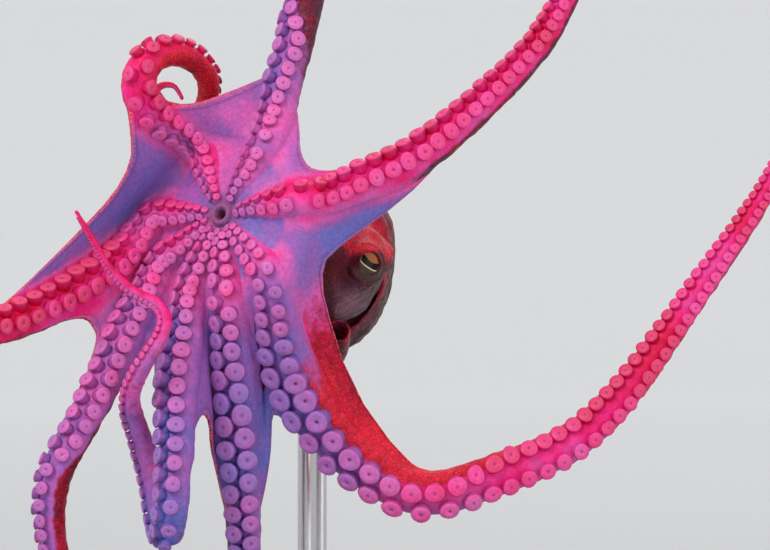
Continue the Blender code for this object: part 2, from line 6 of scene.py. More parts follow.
import bpy
import numpy as np
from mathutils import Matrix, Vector


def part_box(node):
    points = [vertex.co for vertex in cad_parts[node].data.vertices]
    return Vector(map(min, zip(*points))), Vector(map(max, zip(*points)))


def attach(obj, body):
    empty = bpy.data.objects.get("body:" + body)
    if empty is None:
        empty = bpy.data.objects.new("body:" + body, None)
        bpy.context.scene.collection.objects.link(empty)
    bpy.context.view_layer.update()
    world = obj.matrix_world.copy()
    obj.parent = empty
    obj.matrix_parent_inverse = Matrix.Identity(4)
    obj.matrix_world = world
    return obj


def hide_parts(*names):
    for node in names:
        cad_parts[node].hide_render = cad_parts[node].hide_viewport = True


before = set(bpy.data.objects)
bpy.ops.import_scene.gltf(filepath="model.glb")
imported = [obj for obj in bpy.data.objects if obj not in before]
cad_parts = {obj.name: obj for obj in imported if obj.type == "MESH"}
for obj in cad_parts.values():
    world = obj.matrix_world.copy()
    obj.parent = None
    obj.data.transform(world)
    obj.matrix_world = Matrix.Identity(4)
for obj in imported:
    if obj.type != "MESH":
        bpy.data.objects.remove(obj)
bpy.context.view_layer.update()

MM = 0.001
DRAW = np.random.default_rng(8)

# --- arms and webs: the same sizes and routes as the solids ---
BODY_AXIS = (0.484, 0.840, -0.247)  # from the mouth back through the head
ARM_START = 40 * MM  # from the mouth's axis
ROOT_WIDTH = 20.5 * MM
FULL_WIDTH_AT = 85 * MM
TIP_WIDTH = 2.4 * MM
ARM_HEIGHT = 0.86  # of its width
WEB_TURN = math.radians(50)
WEB_FULLNESS = 0.6
WEB_STATIONS = 8
SUCKER_CLEARANCE = math.radians(66)
SUCKER_RELEASE = 70 * MM
# For each arm, clockwise from the front: direction at the crown in degrees; width and web length in mm; the
# suckers' rims over the width; each row's degrees from their middle, along the web and past it; how far
# they turn towards the next arm (share of length, degrees); the tint (share of length, from 0, blue, over
# lilac and pink to 1, coral); its back's tone from 0, brown, to 1, orange, and how far paleness covers it;
# and the route in mm from the mouth.
ARMS = {
    "l1": dict(
        direction=64, width=26, web=66, rim=0.44, splay=(27, 27), back=0.2,
        tint=((0, 0.56), (0.08, 0.34), (0.2, 0.20), (1, 0.40)),
        roll=((0, -10), (0.15, -48), (0.5, -35), (1, 0)),
        route=((27, 6, 51), (31, 14, 79), (38, 24, 104), (44, 30, 123), (50, 40, 148), (52, 66, 179),
               (47, 108, 211), (35, 158, 228), (26, 205, 221), (29, 240, 198), (43, 272, 184),
               (62, 298, 190), (69, 312, 209), (58, 314, 224), (44, 304, 218)),
    ),
    "l2": dict(
        direction=12, width=27, web=90, rim=0.48, splay=(27, 28), back=0.45,
        tint=((0, 0.62), (0.15, 0.68), (1, 0.70)),
        roll=((0, 0), (0.15, -22), (0.5, -34), (1, -30)),
        route=((52, -15, 9), (70, -8, 17), (90, 0, 25), (110, 8, 35), (130, 17, 52), (151, 26, 71),
               (175, 36, 95), (188, 44, 113), (198, 50, 132), (206, 62, 156), (208, 84, 186),
               (203, 112, 215), (190, 140, 236), (173, 164, 243), (156, 180, 234), (154, 186, 218),
               (168, 184, 207), (180, 176, 213)),
    ),
    "l3": dict(
        direction=-44, width=35, web=170, rim=0.46, splay=(27, 40), back=0.75,
        tint=((0, 0.48), (0.10, 0.24), (0.17, 0.42), (0.24, 0.62), (0.36, 0.80), (1, 0.78)),
        roll=((0, 0), (0.12, 8), (0.24, 4), (0.34, -28), (0.5, -48), (0.62, -58), (1, -60)),
        route=((29, -20, -50), (32, -10, -70), (38, -1, -91), (51, 0, -113), (67, 0, -132),
               (84, 0, -145), (102, 0, -157), (124, 0, -158), (148, 5, -149), (170, 10, -142),
               (191, 15, -134), (213, 22, -119), (234, 30, -97), (254, 38, -71), (276, 46, -41),
               (303, 56, -5), (319, 62, 19), (337, 68, 50), (353, 70, 82), (362, 66, 115),
               (360, 56, 141), (347, 44, 158), (330, 34, 156), (325, 28, 141), (336, 26, 130)),
    ),
    "l4": dict(
        direction=-79, width=30, web=210, rim=0.54, splay=(24, 27), back=0.22,
        tint=((0, 0.46), (0.12, 0.16), (0.2, 0.06), (0.4, 0.16), (0.6, 0.32), (1, 0.50)),
        roll=((0, 0), (0.2, 6), (0.5, 10), (1, 0)),
        route=((5, -11, -62), (6, -6, -90), (6, -2, -115), (7, 0, -138), (8, 4, -162), (9, 8, -188),
               (9, 16, -213), (4, 34, -238), (-7, 62, -256), (-19, 98, -262), (-23, 132, -257),
               (-16, 158, -250), (-2, 174, -247), (14, 178, -254), (18, 172, -268)),
    ),
    "r4": dict(
        direction=-112, width=27, web=150, rim=0.50, splay=(25, 27), back=0.5, pale=0.75,
        tint=((0, 0.50), (0.12, 0.30), (0.25, 0.10), (0.42, 0.14), (0.6, 0.44), (1, 0.84)),
        roll=((0, 0), (1, 0)),
        route=((-22, -10, -60), (-25, -23, -85), (-26, -36, -108), (-25, -46, -129),
               (-26, -54, -150), (-27, -54, -166), (-30, -44, -177), (-34, -28, -172),
               (-39, -20, -154), (-44, -22, -132), (-50, -32, -112), (-51, -44, -98),
               (-43, -56, -83), (-33, -62, -70), (-28, -62, -58), (-32, -60, -49), (-40, -60, -45),
               (-50, -62, -40), (-61, -66, -28), (-68, -72, -13), (-76, -78, 1)),
    ),
    "r3": dict(
        direction=-146, width=27, web=125, rim=0.46, splay=(27, 27), back=0.45,
        tint=((0, 0.52), (0.15, 0.34), (0.4, 0.34), (0.6, 0.60), (0.8, 0.95), (1, 0.95)),
        roll=((0, 0), (0.2, 30), (0.5, 40), (1, 20)),
        route=((-48, 2, -50), (-58, -16, -68), (-66, -30, -90), (-74, -38, -106), (-82, -45, -122),
               (-90, -50, -138), (-94, -50, -156), (-93, -45, -179), (-90, -34, -202),
               (-93, -12, -225), (-105, 20, -243), (-122, 56, -250), (-138, 88, -245),
               (-142, 110, -230), (-131, 122, -219), (-117, 120, -226)),
    ),
    "r2": dict(
        direction=178, width=31, web=135, rim=0.46, splay=(27, 27), back=0.75,
        tint=((0, 0.56), (0.2, 0.62), (0.36, 0.96), (1, 1.10)),
        roll=((0, 0), (0.2, 28), (0.5, 36), (1, 20)),
        route=((-55, 20, -14), (-66, 8, -27), (-79, -8, -38), (-94, -26, -48), (-110, -44, -57),
               (-129, -60, -64), (-151, -72, -68), (-174, -78, -68), (-197, -78, -60),
               (-216, -70, -46), (-226, -56, -28), (-223, -42, -9), (-212, -32, 2), (-197, -26, 0),
               (-188, -22, -13), (-194, -18, -27)),
    ),
    "r1": dict(
        direction=121, width=28, web=60, rim=0.46, splay=(27, 27), back=0.95,
        tint=((0, 0.64), (0.15, 0.66), (0.3, 0.82), (1, 0.86)),
        roll=((0, 0), (0.15, -12), (0.35, -45), (0.6, -62), (1, -40)),
        route=((-24, 18, 49), (-34, 9, 54), (-44, -1, 60), (-50, -9, 70), (-51, -11, 81), (-43, -4, 92),
               (-31, 8, 96), (-19, 19, 92), (-12, 30, 80), (-15, 42, 67), (-26, 52, 59), (-39, 60, 57),
               (-49, 68, 64), (-53, 75, 75), (-47, 80, 84), (-37, 83, 84), (-34, 85, 75)),
    ),
}
# For each web: how many of the eight steps along the arms it spans, how far its margin dips towards the
# mouth near the first arm and near the second, as a share of that length, how squarely it does so, its
# tint, and how far red skin covers it near the second arm.
WEBS = {
    ("l1", "l2"): (4, 0.60, 0.60, 2.2, 0.16, 0),
    ("l2", "l3"): (8, 0.80, 0.74, 2.5, -0.04, 1),
    ("l3", "l4"): (5, 0.30, 0.16, 3.0, 0.05, 0),
    ("l4", "r4"): (5, 0.24, 0.24, 3.0, 0.12, 0),
    ("r4", "r3"): (5, 0.34, 0.30, 3.0, 0.16, 0),
    ("r3", "r2"): (6, 0.26, 0.16, 4.0, 0.16, 0),
    ("r2", "r1"): (8, 0.40, 0.40, 2.4, 0.10, 0),
    ("r1", "l1"): (6, 0.26, 0.10, 3.0, 0.42, 0),
}
# Arms with coloured skin right beside their suckers: on the side of the arm before (1) or the next (-1)
COLOURED_SIDES = {"l3": 1, "l1": -1}
COLOURED_FROM, COLOURED_FADE = 34, 16  # degrees from the suckers' middle
COLOURED_START, COLOURED_GROWTH = 35 * MM, 70 * MM  # along the arm
FACE_END, FACE_FADE = 92, 30  # degrees from the suckers' middle to the pale face's end past the webs

# --- head and mantle ---
# The spine's route in mm from the mouth
SPINE = ((0, 0, 0), (26, 42, -13), (53, 85, -26), (52, 125, -27), (46, 185, -24), (42, 240, -30),
         (41, 290, -37))
# Sizes in mm: (distance along the spine, half width, half height, squareness)
HEAD_SIZES = ((0, 36, 36, 2.0), (13, 35, 35, 2.0), (25, 34, 34, 2.0), (42, 35, 34, 2.0), (58, 37, 35, 2.1),
              (76, 39, 36, 2.1), (94, 39, 36, 2.1), (112, 37, 37, 2.1), (131, 36, 38, 2.1),
              (145, 35, 38, 2.1))
MANTLE_SIZES = ((124, 38, 41, 2.1), (131.5, 40, 44, 2.2), (136, 42, 47, 2.2), (152, 45, 53, 2.3),
                (176, 47, 57, 2.4), (204, 47, 59, 2.4), (232, 44, 56, 2.3), (256, 37, 49, 2.2),
                (276, 27, 37, 2.1), (290, 16, 21, 2.0), (298, 3, 4, 2.0))
SHOULDER = 0.12  # how much wider the mantle is at its top than half way down, and narrower at its foot
# Places beside the spine: (distance along it, degrees above the side, distance from it)
EYE_PLACE = (80, -11, 40)
BROW_PLACE = (100, 5, 48)
# Swellings of the head on both sides: (place, height, reach)
SWELLINGS = ((EYE_PLACE, 7, 20), (BROW_PLACE, 18, 13))
# The mantle's edge sags round the funnel, once for each side.
MANTLE_SWELLINGS = (((134, -90, 46), 5, 24),)
EYE_AT = EYE_PLACE[0] * MM
FUNNEL_ROUTE = ((52, 148, -54), (52, 134, -62), (53, 119, -71), (55, 103, -77), (57, 90, -78),
                (60, 76, -74), (62, 59, -66))
FUNNEL_RADII = (18.0, 17.0, 14.5, 12.2, 10.5, 8.8, 7.0)
BODY_TONE, MANTLE_TONE = 0.17, 0.06  # of the coloured skin, from 0, brown, to 1, orange
MANTLE_EDGE_RIM_LIGHT = 0.25  # added along the mantle's edge: a painted rim light

# --- the skin's grids ---
FACE_STEPS = 13  # across an arm's face, between the webs
BACK_STEPS = 12  # across its back
ROOT_STEPS = 3  # across the place of a web's root
STEPS_PER_STATION = 7  # along the arm in the webs' zone
ARM_STEP = 2.6 * MM  # along the arm past the webs
WEB_STEPS = 14  # from arm to arm
DISC_STEPS = 12  # from the arms' start in towards the lips
NECK_STEPS = 15  # from the arms' start back to the head
HEAD_START, HEAD_END = 30 * MM, 118 * MM  # along the spine
MANTLE_ROUND, MANTLE_END = 270, 297.6  # in mm along the spine: where its tip's rounding begins and ends
EYE_WINDOW = (23 * MM, 22 * MM, math.radians(36))  # left open before, behind and to both sides of an eye
ROOT_HALF = 3.1 * MM  # half thickness of a web where it leaves an arm
WEB_HALF = 1.1 * MM
WEB_FILLET = 3.5 * MM
RIM_REACH = 10 * MM  # how far in from a web's margin its rim is marked
ARM_FADE = 30 * MM  # along an arm, over which its folds begin and its webs' marks end
BORDER_TINT = 0.66  # of a web's pale skin where it meets red skin


# --- vectors and curves ---
def unit(v):
    v = np.asarray(v, float)
    return v / np.linalg.norm(v, axis=-1, keepdims=True)


def crown_axes():
    """Right and up of the crown's plane, as seen from the front."""
    back = unit(BODY_AXIS)
    up = unit(np.array((0, 0, 1.0)) - back[2] * back)
    return np.cross(back, up), up


def smooth_line(points, per_span=10):
    """A cubic B-spline led by the points: each span weighs four neighbours by the uniform cubic basis."""
    p = np.asarray(points, float)
    p = np.vstack((2 * p[0] - p[1], p, 2 * p[-1] - p[-2]))
    t = np.linspace(0, 1, per_span, endpoint=False)[:, None]
    basis = ((1 - t) ** 3, 3 * t**3 - 6 * t**2 + 4, 1 + 3 * t + 3 * t**2 - 3 * t**3, t**3)
    spans = [sum(w * q for w, q in zip(basis, p[i : i + 4])) / 6 for i in range(len(p) - 3)]
    return np.vstack((*spans, p[-2]))


def lengths_along(line):
    steps = np.linalg.norm(np.diff(line, axis=0), axis=1)
    return np.concatenate(((0.0,), np.cumsum(steps)))


def sample(values, at, where):
    """Each column of values, known at the lengths at, read at the lengths where, of any shape."""
    return np.stack([np.interp(where, at, column) for column in values.T], axis=-1)


def smoothstep(x):
    x = np.clip(x, 0, 1)
    return x * x * (3 - 2 * x)


def mix(a, b, share):
    return a + (b - a) * share


def hermite(share, a, b, way_a, way_b):
    """A cubic from a to b that leaves along way_a and arrives along way_b."""
    u = share
    return (
        (2 * u**3 - 3 * u**2 + 1) * a + (3 * u**2 - 2 * u**3) * b
        + (u**3 - 2 * u**2 + u) * way_a + (u**3 - u**2) * way_b
    )


def wrapped(angle):
    """The angle within half a turn either way."""
    return np.angle(np.exp(1j * angle))


def circle(count):
    """Angles of a full turn, evenly spaced."""
    return np.linspace(0, 2 * np.pi, count, endpoint=False)


def swing(angle, start, quarter):
    """The direction at each angle, from start at 0 over quarter at 90 degrees."""
    return np.cos(angle)[..., None] * start + np.sin(angle)[..., None] * quarter


def ripples(points, size, seed):
    """Soft unevenness between about -1 and 1: the mean of 14 sine waves in drawn directions, each with its
    own wavelength near the size, times the square root of 14."""
    draw = np.random.default_rng(seed)
    way = unit(draw.normal(size=(14, 3))) * (2 * np.pi / (size * draw.uniform(0.7, 1.6, (14, 1))))
    phase = draw.uniform(0, 2 * np.pi, 14)
    return np.sin(points @ way.T + phase).mean(axis=-1) * math.sqrt(14)


class Arm:
    """An arm's centre line with a carried frame, in which angles run from the side of the next arm (0),
    over the face with the suckers (90 degrees), to the side of the arm before (180 degrees)."""

    def __init__(self, name, mouth):
        spec = ARMS[name]
        right, up = crown_axes()
        angle = math.radians(spec["direction"])
        self.mouth = mouth
        self.out = math.cos(angle) * right + math.sin(angle) * up
        first = [mouth + self.out * r for r in (ARM_START, ARM_START + 10 * MM)]
        self.name = name
        self.line = smooth_line(first + [mouth + MM * np.array(p) for p in spec["route"]])
        self.at = lengths_along(self.line)
        self.length = self.at[-1]
        self.width = spec["width"] * MM
        self.web = spec["web"] * MM
        self.roll, self.rim, self.splay, self.tints = (spec[k] for k in ("roll", "rim", "splay", "tint"))
        self.back, self.pale = spec["back"], spec.get("pale", 0)
        self.tangent = unit(np.gradient(self.line, self.at, axis=0))
        self.tangent[0] = self.out
        oral = [-unit(BODY_AXIS)]
        for t in self.tangent[1:]:
            oral.append(unit(oral[-1] - np.dot(oral[-1], t) * t))
        self.oral = np.array(oral)
        self.side = np.cross(self.tangent, self.oral)
        self.web_stations = np.linspace(0, self.web, WEB_STATIONS + 1)
        web_rows = WEB_STATIONS * STEPS_PER_STATION
        free = self.length - self.web
        free_rows = round(free / ARM_STEP)
        self.rows = np.concatenate((
            np.linspace(0, self.web, web_rows + 1), self.web + free * np.arange(1, free_rows + 1) / free_rows
        ))

    def face_neighbours(self, before, after):
        """Finds, at each web station, the angles at which the two webs leave."""
        point, _, oral, side = self.frame(self.web_stations)
        self.web_angles = []
        for other, middle in ((after, 0), (before, np.pi)):
            way = other.frame(other.web_stations)[0] - point
            angle = np.arctan2((way * oral).sum(1), (way * side).sum(1)) - middle
            angle = np.clip(np.arctan2(np.sin(angle), np.cos(angle)), -WEB_TURN, WEB_TURN)
            for _ in range(4):
                angle[1:-1] = (angle[:-2] + 2 * angle[1:-1] + angle[2:]) / 4
            self.web_angles.append(middle + angle)

    def frame(self, s):
        """Point, tangent, oral and side direction at each length in s."""
        point = sample(self.line, self.at, s)
        return (point,) + tuple(unit(sample(d, self.at, s)) for d in (self.tangent, self.oral, self.side))

    def width_at(self, s):
        taper = TIP_WIDTH + (self.width - TIP_WIDTH) * (1 - s / self.length)
        return ROOT_WIDTH + (taper - ROOT_WIDTH) * smoothstep(s / FULL_WIDTH_AT)

    def sides(self, s):
        return [np.interp(s, self.web_stations, a) for a in self.web_angles]

    def sucker_angle(self, s):
        """Where the middle of the suckers' two rows lies, kept clear of the webs."""
        shares, degrees = zip(*self.roll)
        angle = np.pi / 2 - np.radians(np.interp(s / self.length, shares, degrees))
        low, high = self.sides(s)
        clear = SUCKER_CLEARANCE - np.pi * smoothstep((s - self.web) / SUCKER_RELEASE)
        return np.clip(angle, low + clear, high - clear)

    def sucker_splay(self, s):
        """Angle of each row from their middle."""
        near, far = self.splay
        return np.radians(mix(near, far, smoothstep((s - self.web) / SUCKER_RELEASE)))

    def tint(self, s):
        shares, tints = zip(*self.tints)
        return np.interp(s / self.length, shares, tints)

    def radius(self, s, angle):
        """Of the oval section, which is flatter towards the suckers."""
        turn = angle - self.sucker_angle(s)
        return 0.5 * self.width_at(s) / np.hypot(np.cos(turn) / ARM_HEIGHT, np.sin(turn))

    def direction(self, s, angle):
        _, _, oral, side = self.frame(s)
        return swing(angle, side, oral)

    def surface(self, s, angle):
        """The skin's point: the centre line's point plus the section's radius in the angle's direction."""
        return self.frame(s)[0] + self.radius(s, angle)[..., None] * self.direction(s, angle)

    def root(self, s):
        """Half the angle that a web's root takes."""
        return np.arcsin(2 * ROOT_HALF / self.width_at(np.minimum(s, self.web)))

    def ring_angles(self, s):
        """The angles of the skin's columns, rising from one web's root round the arm."""
        low, high = (a[:, None] for a in self.sides(s))
        root = self.root(s)[:, None]
        face = mix(low + root, high - root, np.linspace(0, 1, FACE_STEPS + 1))
        back = mix(high + root, low - root + 2 * np.pi, np.linspace(0, 1, BACK_STEPS + 1))
        inside = np.arange(1, ROOT_STEPS) / ROOT_STEPS
        high_root = mix(high - root, high + root, inside)
        low_root = mix(low - root, low + root, inside) + 2 * np.pi
        return np.hstack((face, high_root, back, low_root))


class Spine:
    """The body's centre line, with its right and up directions, and the sizes of head and mantle."""

    def __init__(self, mouth):
        self.line = mouth + MM * smooth_line(SPINE)
        self.at = lengths_along(self.line)
        self.tangent = unit(np.gradient(self.line, self.at, axis=0))
        self.up = unit(np.array((0, 0, 1.0)) - self.tangent[:, 2:] * self.tangent)
        self.right = np.cross(self.tangent, self.up)
        self.head = smooth_line(HEAD_SIZES)
        self.mantle = smooth_line(MANTLE_SIZES)

    def frame(self, s):
        return [sample(v, self.at, s) for v in (self.line, self.right, self.up, self.tangent)]

    def beside(self, place, side):
        """A place beside the spine, on the left (side 1) or the right (side -1)."""
        at, degrees, distance = place
        point, right, up, _ = self.frame(at * MM)
        tilt = math.radians(degrees)
        return point + distance * MM * (side * math.cos(tilt) * right + math.sin(tilt) * up)

    def section(self, sizes, at, turn, shoulder=0):
        """A point of an oval loft: half width and half height times cosine and sine of the turn, each to
        the power two over the squareness, and wider at the top by the shoulder, which only the mantle
        has. It swells outwards round each swelling by a bell curve of the distance over its reach."""
        sized = sample(sizes[:, 1:], MM * sizes[:, 0], at)
        point, right, up, _ = self.frame(at)
        c, s = np.cos(turn), np.sin(turn)
        power = 2 / sized[..., 2]
        high = np.sign(s) * np.abs(s) ** power
        x = MM * sized[..., 0] * np.sign(c) * np.abs(c) ** power * (1 + shoulder * high)
        z = MM * sized[..., 1] * high
        offset = x[..., None] * right + z[..., None] * up
        shape = point + offset
        for place, height, reach in MANTLE_SWELLINGS if shoulder else SWELLINGS:
            for side in (1, -1):
                away = np.linalg.norm(shape - self.beside(place, side), axis=-1) / (reach * MM)
                shape = shape + unit(offset) * (height * MM * np.exp(-(away**2)))[..., None]
        return shape


# --- gathering the skin ---
MARKS = ("face", "web", "body", "lip", "relief", "rim", "tint", "back")


def grid_faces(grid):
    """Quads between neighbouring rows and columns, facing the way of the rows crossed with the columns'."""
    return np.stack((grid[:-1, :-1], grid[1:, :-1], grid[1:, 1:], grid[:-1, 1:]), axis=-1).reshape(-1, 4)


def fan_faces(loop, tip):
    """Triangles from a closed row to one point, kept as quads with a doubled last corner."""
    ends = np.full_like(loop, tip)
    return np.stack((np.roll(loop, -1), loop, ends, ends), axis=1)


class Skin:
    """Points, faces and marks of the skin, gathered from grids that share their edges. The marks say how
    much each point is of the pale face, a web, the body or the lips, how deep its folds may be, how near
    a web's margin it lies, and its tints on the pale and on the coloured side."""

    def __init__(self):
        self.points, self.faces, self.marks, self.count = [], [], [], 0

    def add(self, points, **marks):
        """Adds a grid of points and gives the grid of their numbers."""
        shape = points.shape[:-1]
        self.points.append(points.reshape(-1, 3))
        values = [np.broadcast_to(marks.get(name, 0.0), shape).reshape(-1) for name in MARKS]
        self.marks.append(np.stack(values, axis=1))
        numbers = self.count + np.arange(np.prod(shape)).reshape(shape)
        self.count += numbers.size
        return numbers

    def quads(self, grid, keep=None):
        """Faces between neighbouring rows and columns of a grid of numbers. Their outer side is where the
        way from row to row, crossed with the way from column to column, points."""
        self.faces.append(grid_faces(grid)[slice(None) if keep is None else keep.ravel()])

    def close(self, loop, point, **marks):
        """Closes a last row of numbers with triangles to a new point."""
        self.faces.append(fan_faces(loop, self.add(point[None], **marks)[0]))

    def gathered(self):
        return np.vstack(self.points), np.vstack(self.faces), np.vstack(self.marks)


def closed(grid):
    """The grid with its first column repeated after its last."""
    return np.hstack((grid, grid[:, :1]))


def arm_rows(skin, arm):
    """The arm's rings, from the crown to its rounded tip."""
    s = arm.rows
    angles = arm.ring_angles(s)
    lengths = np.broadcast_to(s[:, None], angles.shape)
    points = arm.surface(lengths, angles)
    turn = np.degrees(wrapped(angles - arm.sucker_angle(s)[:, None]))
    between_webs = np.zeros(points.shape[1])
    between_webs[: FACE_STEPS + 1] = 1
    in_webs = smoothstep((arm.web - lengths) / ARM_FADE)
    face = mix(smoothstep((FACE_END - np.abs(turn)) / FACE_FADE), between_webs, in_webs)
    if arm.name in COLOURED_SIDES:
        beside = smoothstep((COLOURED_SIDES[arm.name] * turn - COLOURED_FROM) / COLOURED_FADE)
        face = face * (1 - beside * smoothstep((lengths - COLOURED_START) / COLOURED_GROWTH))
    face = np.maximum(face, arm.pale)
    tint = arm.tint(lengths)
    numbers = skin.add(points, face=face, relief=smoothstep(lengths / ARM_FADE), tint=tint, back=arm.back)
    faces, backs = FACE_STEPS, FACE_STEPS + ROOT_STEPS
    skin.quads(numbers[:, : faces + 1])
    skin.quads(numbers[:, backs : backs + BACK_STEPS + 1])
    # The tip ends as half a ball.
    centre, ahead = arm.line[-1], arm.tangent[-1]
    last = points[-1] - centre
    angle = np.radians((30, 60))[:, None, None]
    dome = centre + last * np.cos(angle) + ahead * (TIP_WIDTH / 2) * np.sin(angle)
    more = skin.add(dome, face=face[-1], tint=tint[-1], back=arm.back)
    skin.quads(closed(np.vstack((numbers[-1:], more))))
    skin.close(more[-1], centre + ahead * TIP_WIDTH / 2, face=0.5, tint=tint[-1, 0], back=arm.back)
    return numbers, points


def web_columns():
    """Shares of the way from arm to arm at a web's columns, closer together near the arms."""
    return 0.5 - 0.5 * np.cos(np.pi * np.arange(WEB_STEPS + 1) / WEB_STEPS)


def web_sheets(skin, first, second, grids):
    """Both sides of a web, its rounded margin, and the arms' sides past it. The middle surface is a row of
    Hermite curves that leave both arms straight out of their sides; each side of the sheet stands off by
    half the thickness, and by more near the arms, where an exponential fillet carries it into them."""
    spans, dip_a, dip_b, square, own_tint, redness = WEBS[first.name, second.name]
    rows = spans * STEPS_PER_STATION
    u = web_columns()
    dip = mix(dip_a, dip_b, smoothstep(u))
    reach = 1 - dip * (1 - np.abs(2 * u - 1) ** square)
    share = np.arange(rows + 1)[:, None] / (WEB_STATIONS * STEPS_PER_STATION) * reach[None, :]
    ends, outs, ways, corners = [], [], [], []
    for arm, side, sense in ((first, 0, 1), (second, 1, -1)):
        s = share * arm.web
        angle, root = arm.sides(s)[side], arm.root(s)
        ends.append(arm.surface(s, angle))
        outs.append(arm.direction(s, angle))
        ways.append(arm.direction(s, angle + sense * np.pi / 2))
        corners.append([arm.surface(s, angle + sense * root * way) for way in (1, -1)])
    across = u[None, :, None]
    span = np.linalg.norm(ends[1] - ends[0], axis=-1, keepdims=True)
    pull = WEB_FULLNESS * span
    middle = hermite(across, ends[0], ends[1], pull * outs[0], -pull * outs[1])
    loose = (4 * across * (1 - across)) * smoothstep(share[..., None] * 2)
    way = unit(mix(ways[0], ways[1], across))
    normal = unit(np.cross(np.gradient(middle, axis=0), np.gradient(middle, axis=1)))
    normal *= np.sign((normal * way).sum(-1, keepdims=True))
    normal = unit(mix(way, normal, 4 * across * (1 - across)))
    middle = middle + normal * (1.3 * MM * loose * ripples(middle, 34 * MM, 5)[..., None])
    near = [np.exp(-across * span / WEB_FILLET) - across * np.exp(-span / WEB_FILLET)]
    near.append(np.exp(-(1 - across) * span / WEB_FILLET) - (1 - across) * np.exp(-span / WEB_FILLET))
    sheets = []
    for sense, which in ((1, 0), (-1, 1)):
        sheet = middle + sense * WEB_HALF * normal
        for end, arm_side in enumerate((0, -1)):
            at_arm = sheet[:, arm_side][:, None]
            corner = corners[end][which]
            fitted = corner[:, arm_side][:, None] - at_arm
            sheet = sheet + near[end] * fitted
        sheets.append(sheet)
    web = smoothstep(np.minimum(across, 1 - across)[..., 0] * span[..., 0] / (14 * MM))
    tint = mix(first.tint(share * first.web), second.tint(share * second.web), u)
    tint = mix(tint, own_tint, web * mix(0.7, 1, smoothstep(share * 4)))
    back = np.broadcast_to(mix(first.back, second.back, u), web.shape)
    red = redness * smoothstep((u - 0.30) / 0.58) * smoothstep((share - 0.02) / 0.50)
    tint = mix(tint, BORDER_TINT, smoothstep(red / 0.3))
    to_margin = np.linalg.norm(middle - middle[-1], axis=-1)
    rim = 1 - np.clip(to_margin / RIM_REACH, 0, 1)
    inner = slice(1, WEB_STEPS)
    edges = ((0, 0, FACE_STEPS), (1, FACE_STEPS + ROOT_STEPS + BACK_STEPS, FACE_STEPS + ROOT_STEPS))
    grid_a, grid_b = grids[first.name][0], grids[second.name][0]
    numbers = []
    for which, column_a, column_b in edges:
        face = (1 - which) * (1 - red)
        own = skin.add(sheets[which][:, inner], face=face[:, inner], web=web[:, inner],
                       relief=0.6 * share[:, inner], tint=tint[:, inner], back=back[:, inner],
                       rim=rim[:, inner])
        grid = np.hstack((grid_a[: rows + 1, column_a, None], own, grid_b[: rows + 1, column_b, None]))
        skin.quads(grid if which else grid[:, ::-1])
        numbers.append(grid)
    # The margin is half a round, between the last rows of both sides.
    ahead = unit(middle[-1] - middle[-2])
    edge = []
    for k in range(1, ROOT_STEPS):
        part = k / ROOT_STEPS
        bulge = 0.9 * WEB_HALF * math.sin(math.pi * part)
        edge.append(mix(sheets[0][-1], sheets[1][-1], part) + bulge * ahead)
    own = skin.add(np.array(edge)[:, inner], face=0.4, web=web[-1, inner], tint=tint[-1, inner],
                   back=back[-1, inner], rim=1)
    root_a = [len(grid_a[0]) - k for k in range(1, ROOT_STEPS)]
    root_b = [FACE_STEPS + k for k in range(1, ROOT_STEPS)]
    middle_rows = np.hstack((grid_a[rows, root_a][:, None], own, grid_b[rows, root_b][:, None]))
    skin.quads(np.vstack((numbers[0][-1:], middle_rows, numbers[1][-1:]))[:, ::-1])
    # Past the web, each arm's skin is whole.
    back_end = FACE_STEPS + ROOT_STEPS + BACK_STEPS
    skin.quads(closed(grid_a)[rows:, back_end:])
    skin.quads(grid_b[rows:, FACE_STEPS : FACE_STEPS + ROOT_STEPS + 1])
    return numbers, sheets


def disc_height(rho):
    """How far the floor between the arms' ridges stands before the crown's plane."""
    return 5.5 * MM * smoothstep((ARM_START - rho) / (26 * MM))


def ridge(rho):
    """Shares of the arm's width and height that its ridge keeps on the disc, at a distance from the mouth."""
    inwards = 1 - rho / ARM_START
    return 1 - inwards**1.35, 1 - 0.95 * inwards


LIPS = ((7.6, 5.8), (7.1, 6.2), (6.8, 7.0), (6.3, 8.1), (5.6, 8.9), (4.8, 9.1), (4.0, 8.6), (3.4, 7.6),
        (3.0, 6.2), (2.8, 4.6), (2.7, 2.0), (2.6, -1.5))
DISC_EDGE = 8.3 * MM  # where the disc meets the lips
PUCKERS = 27
CROWN_TINT = 0.58


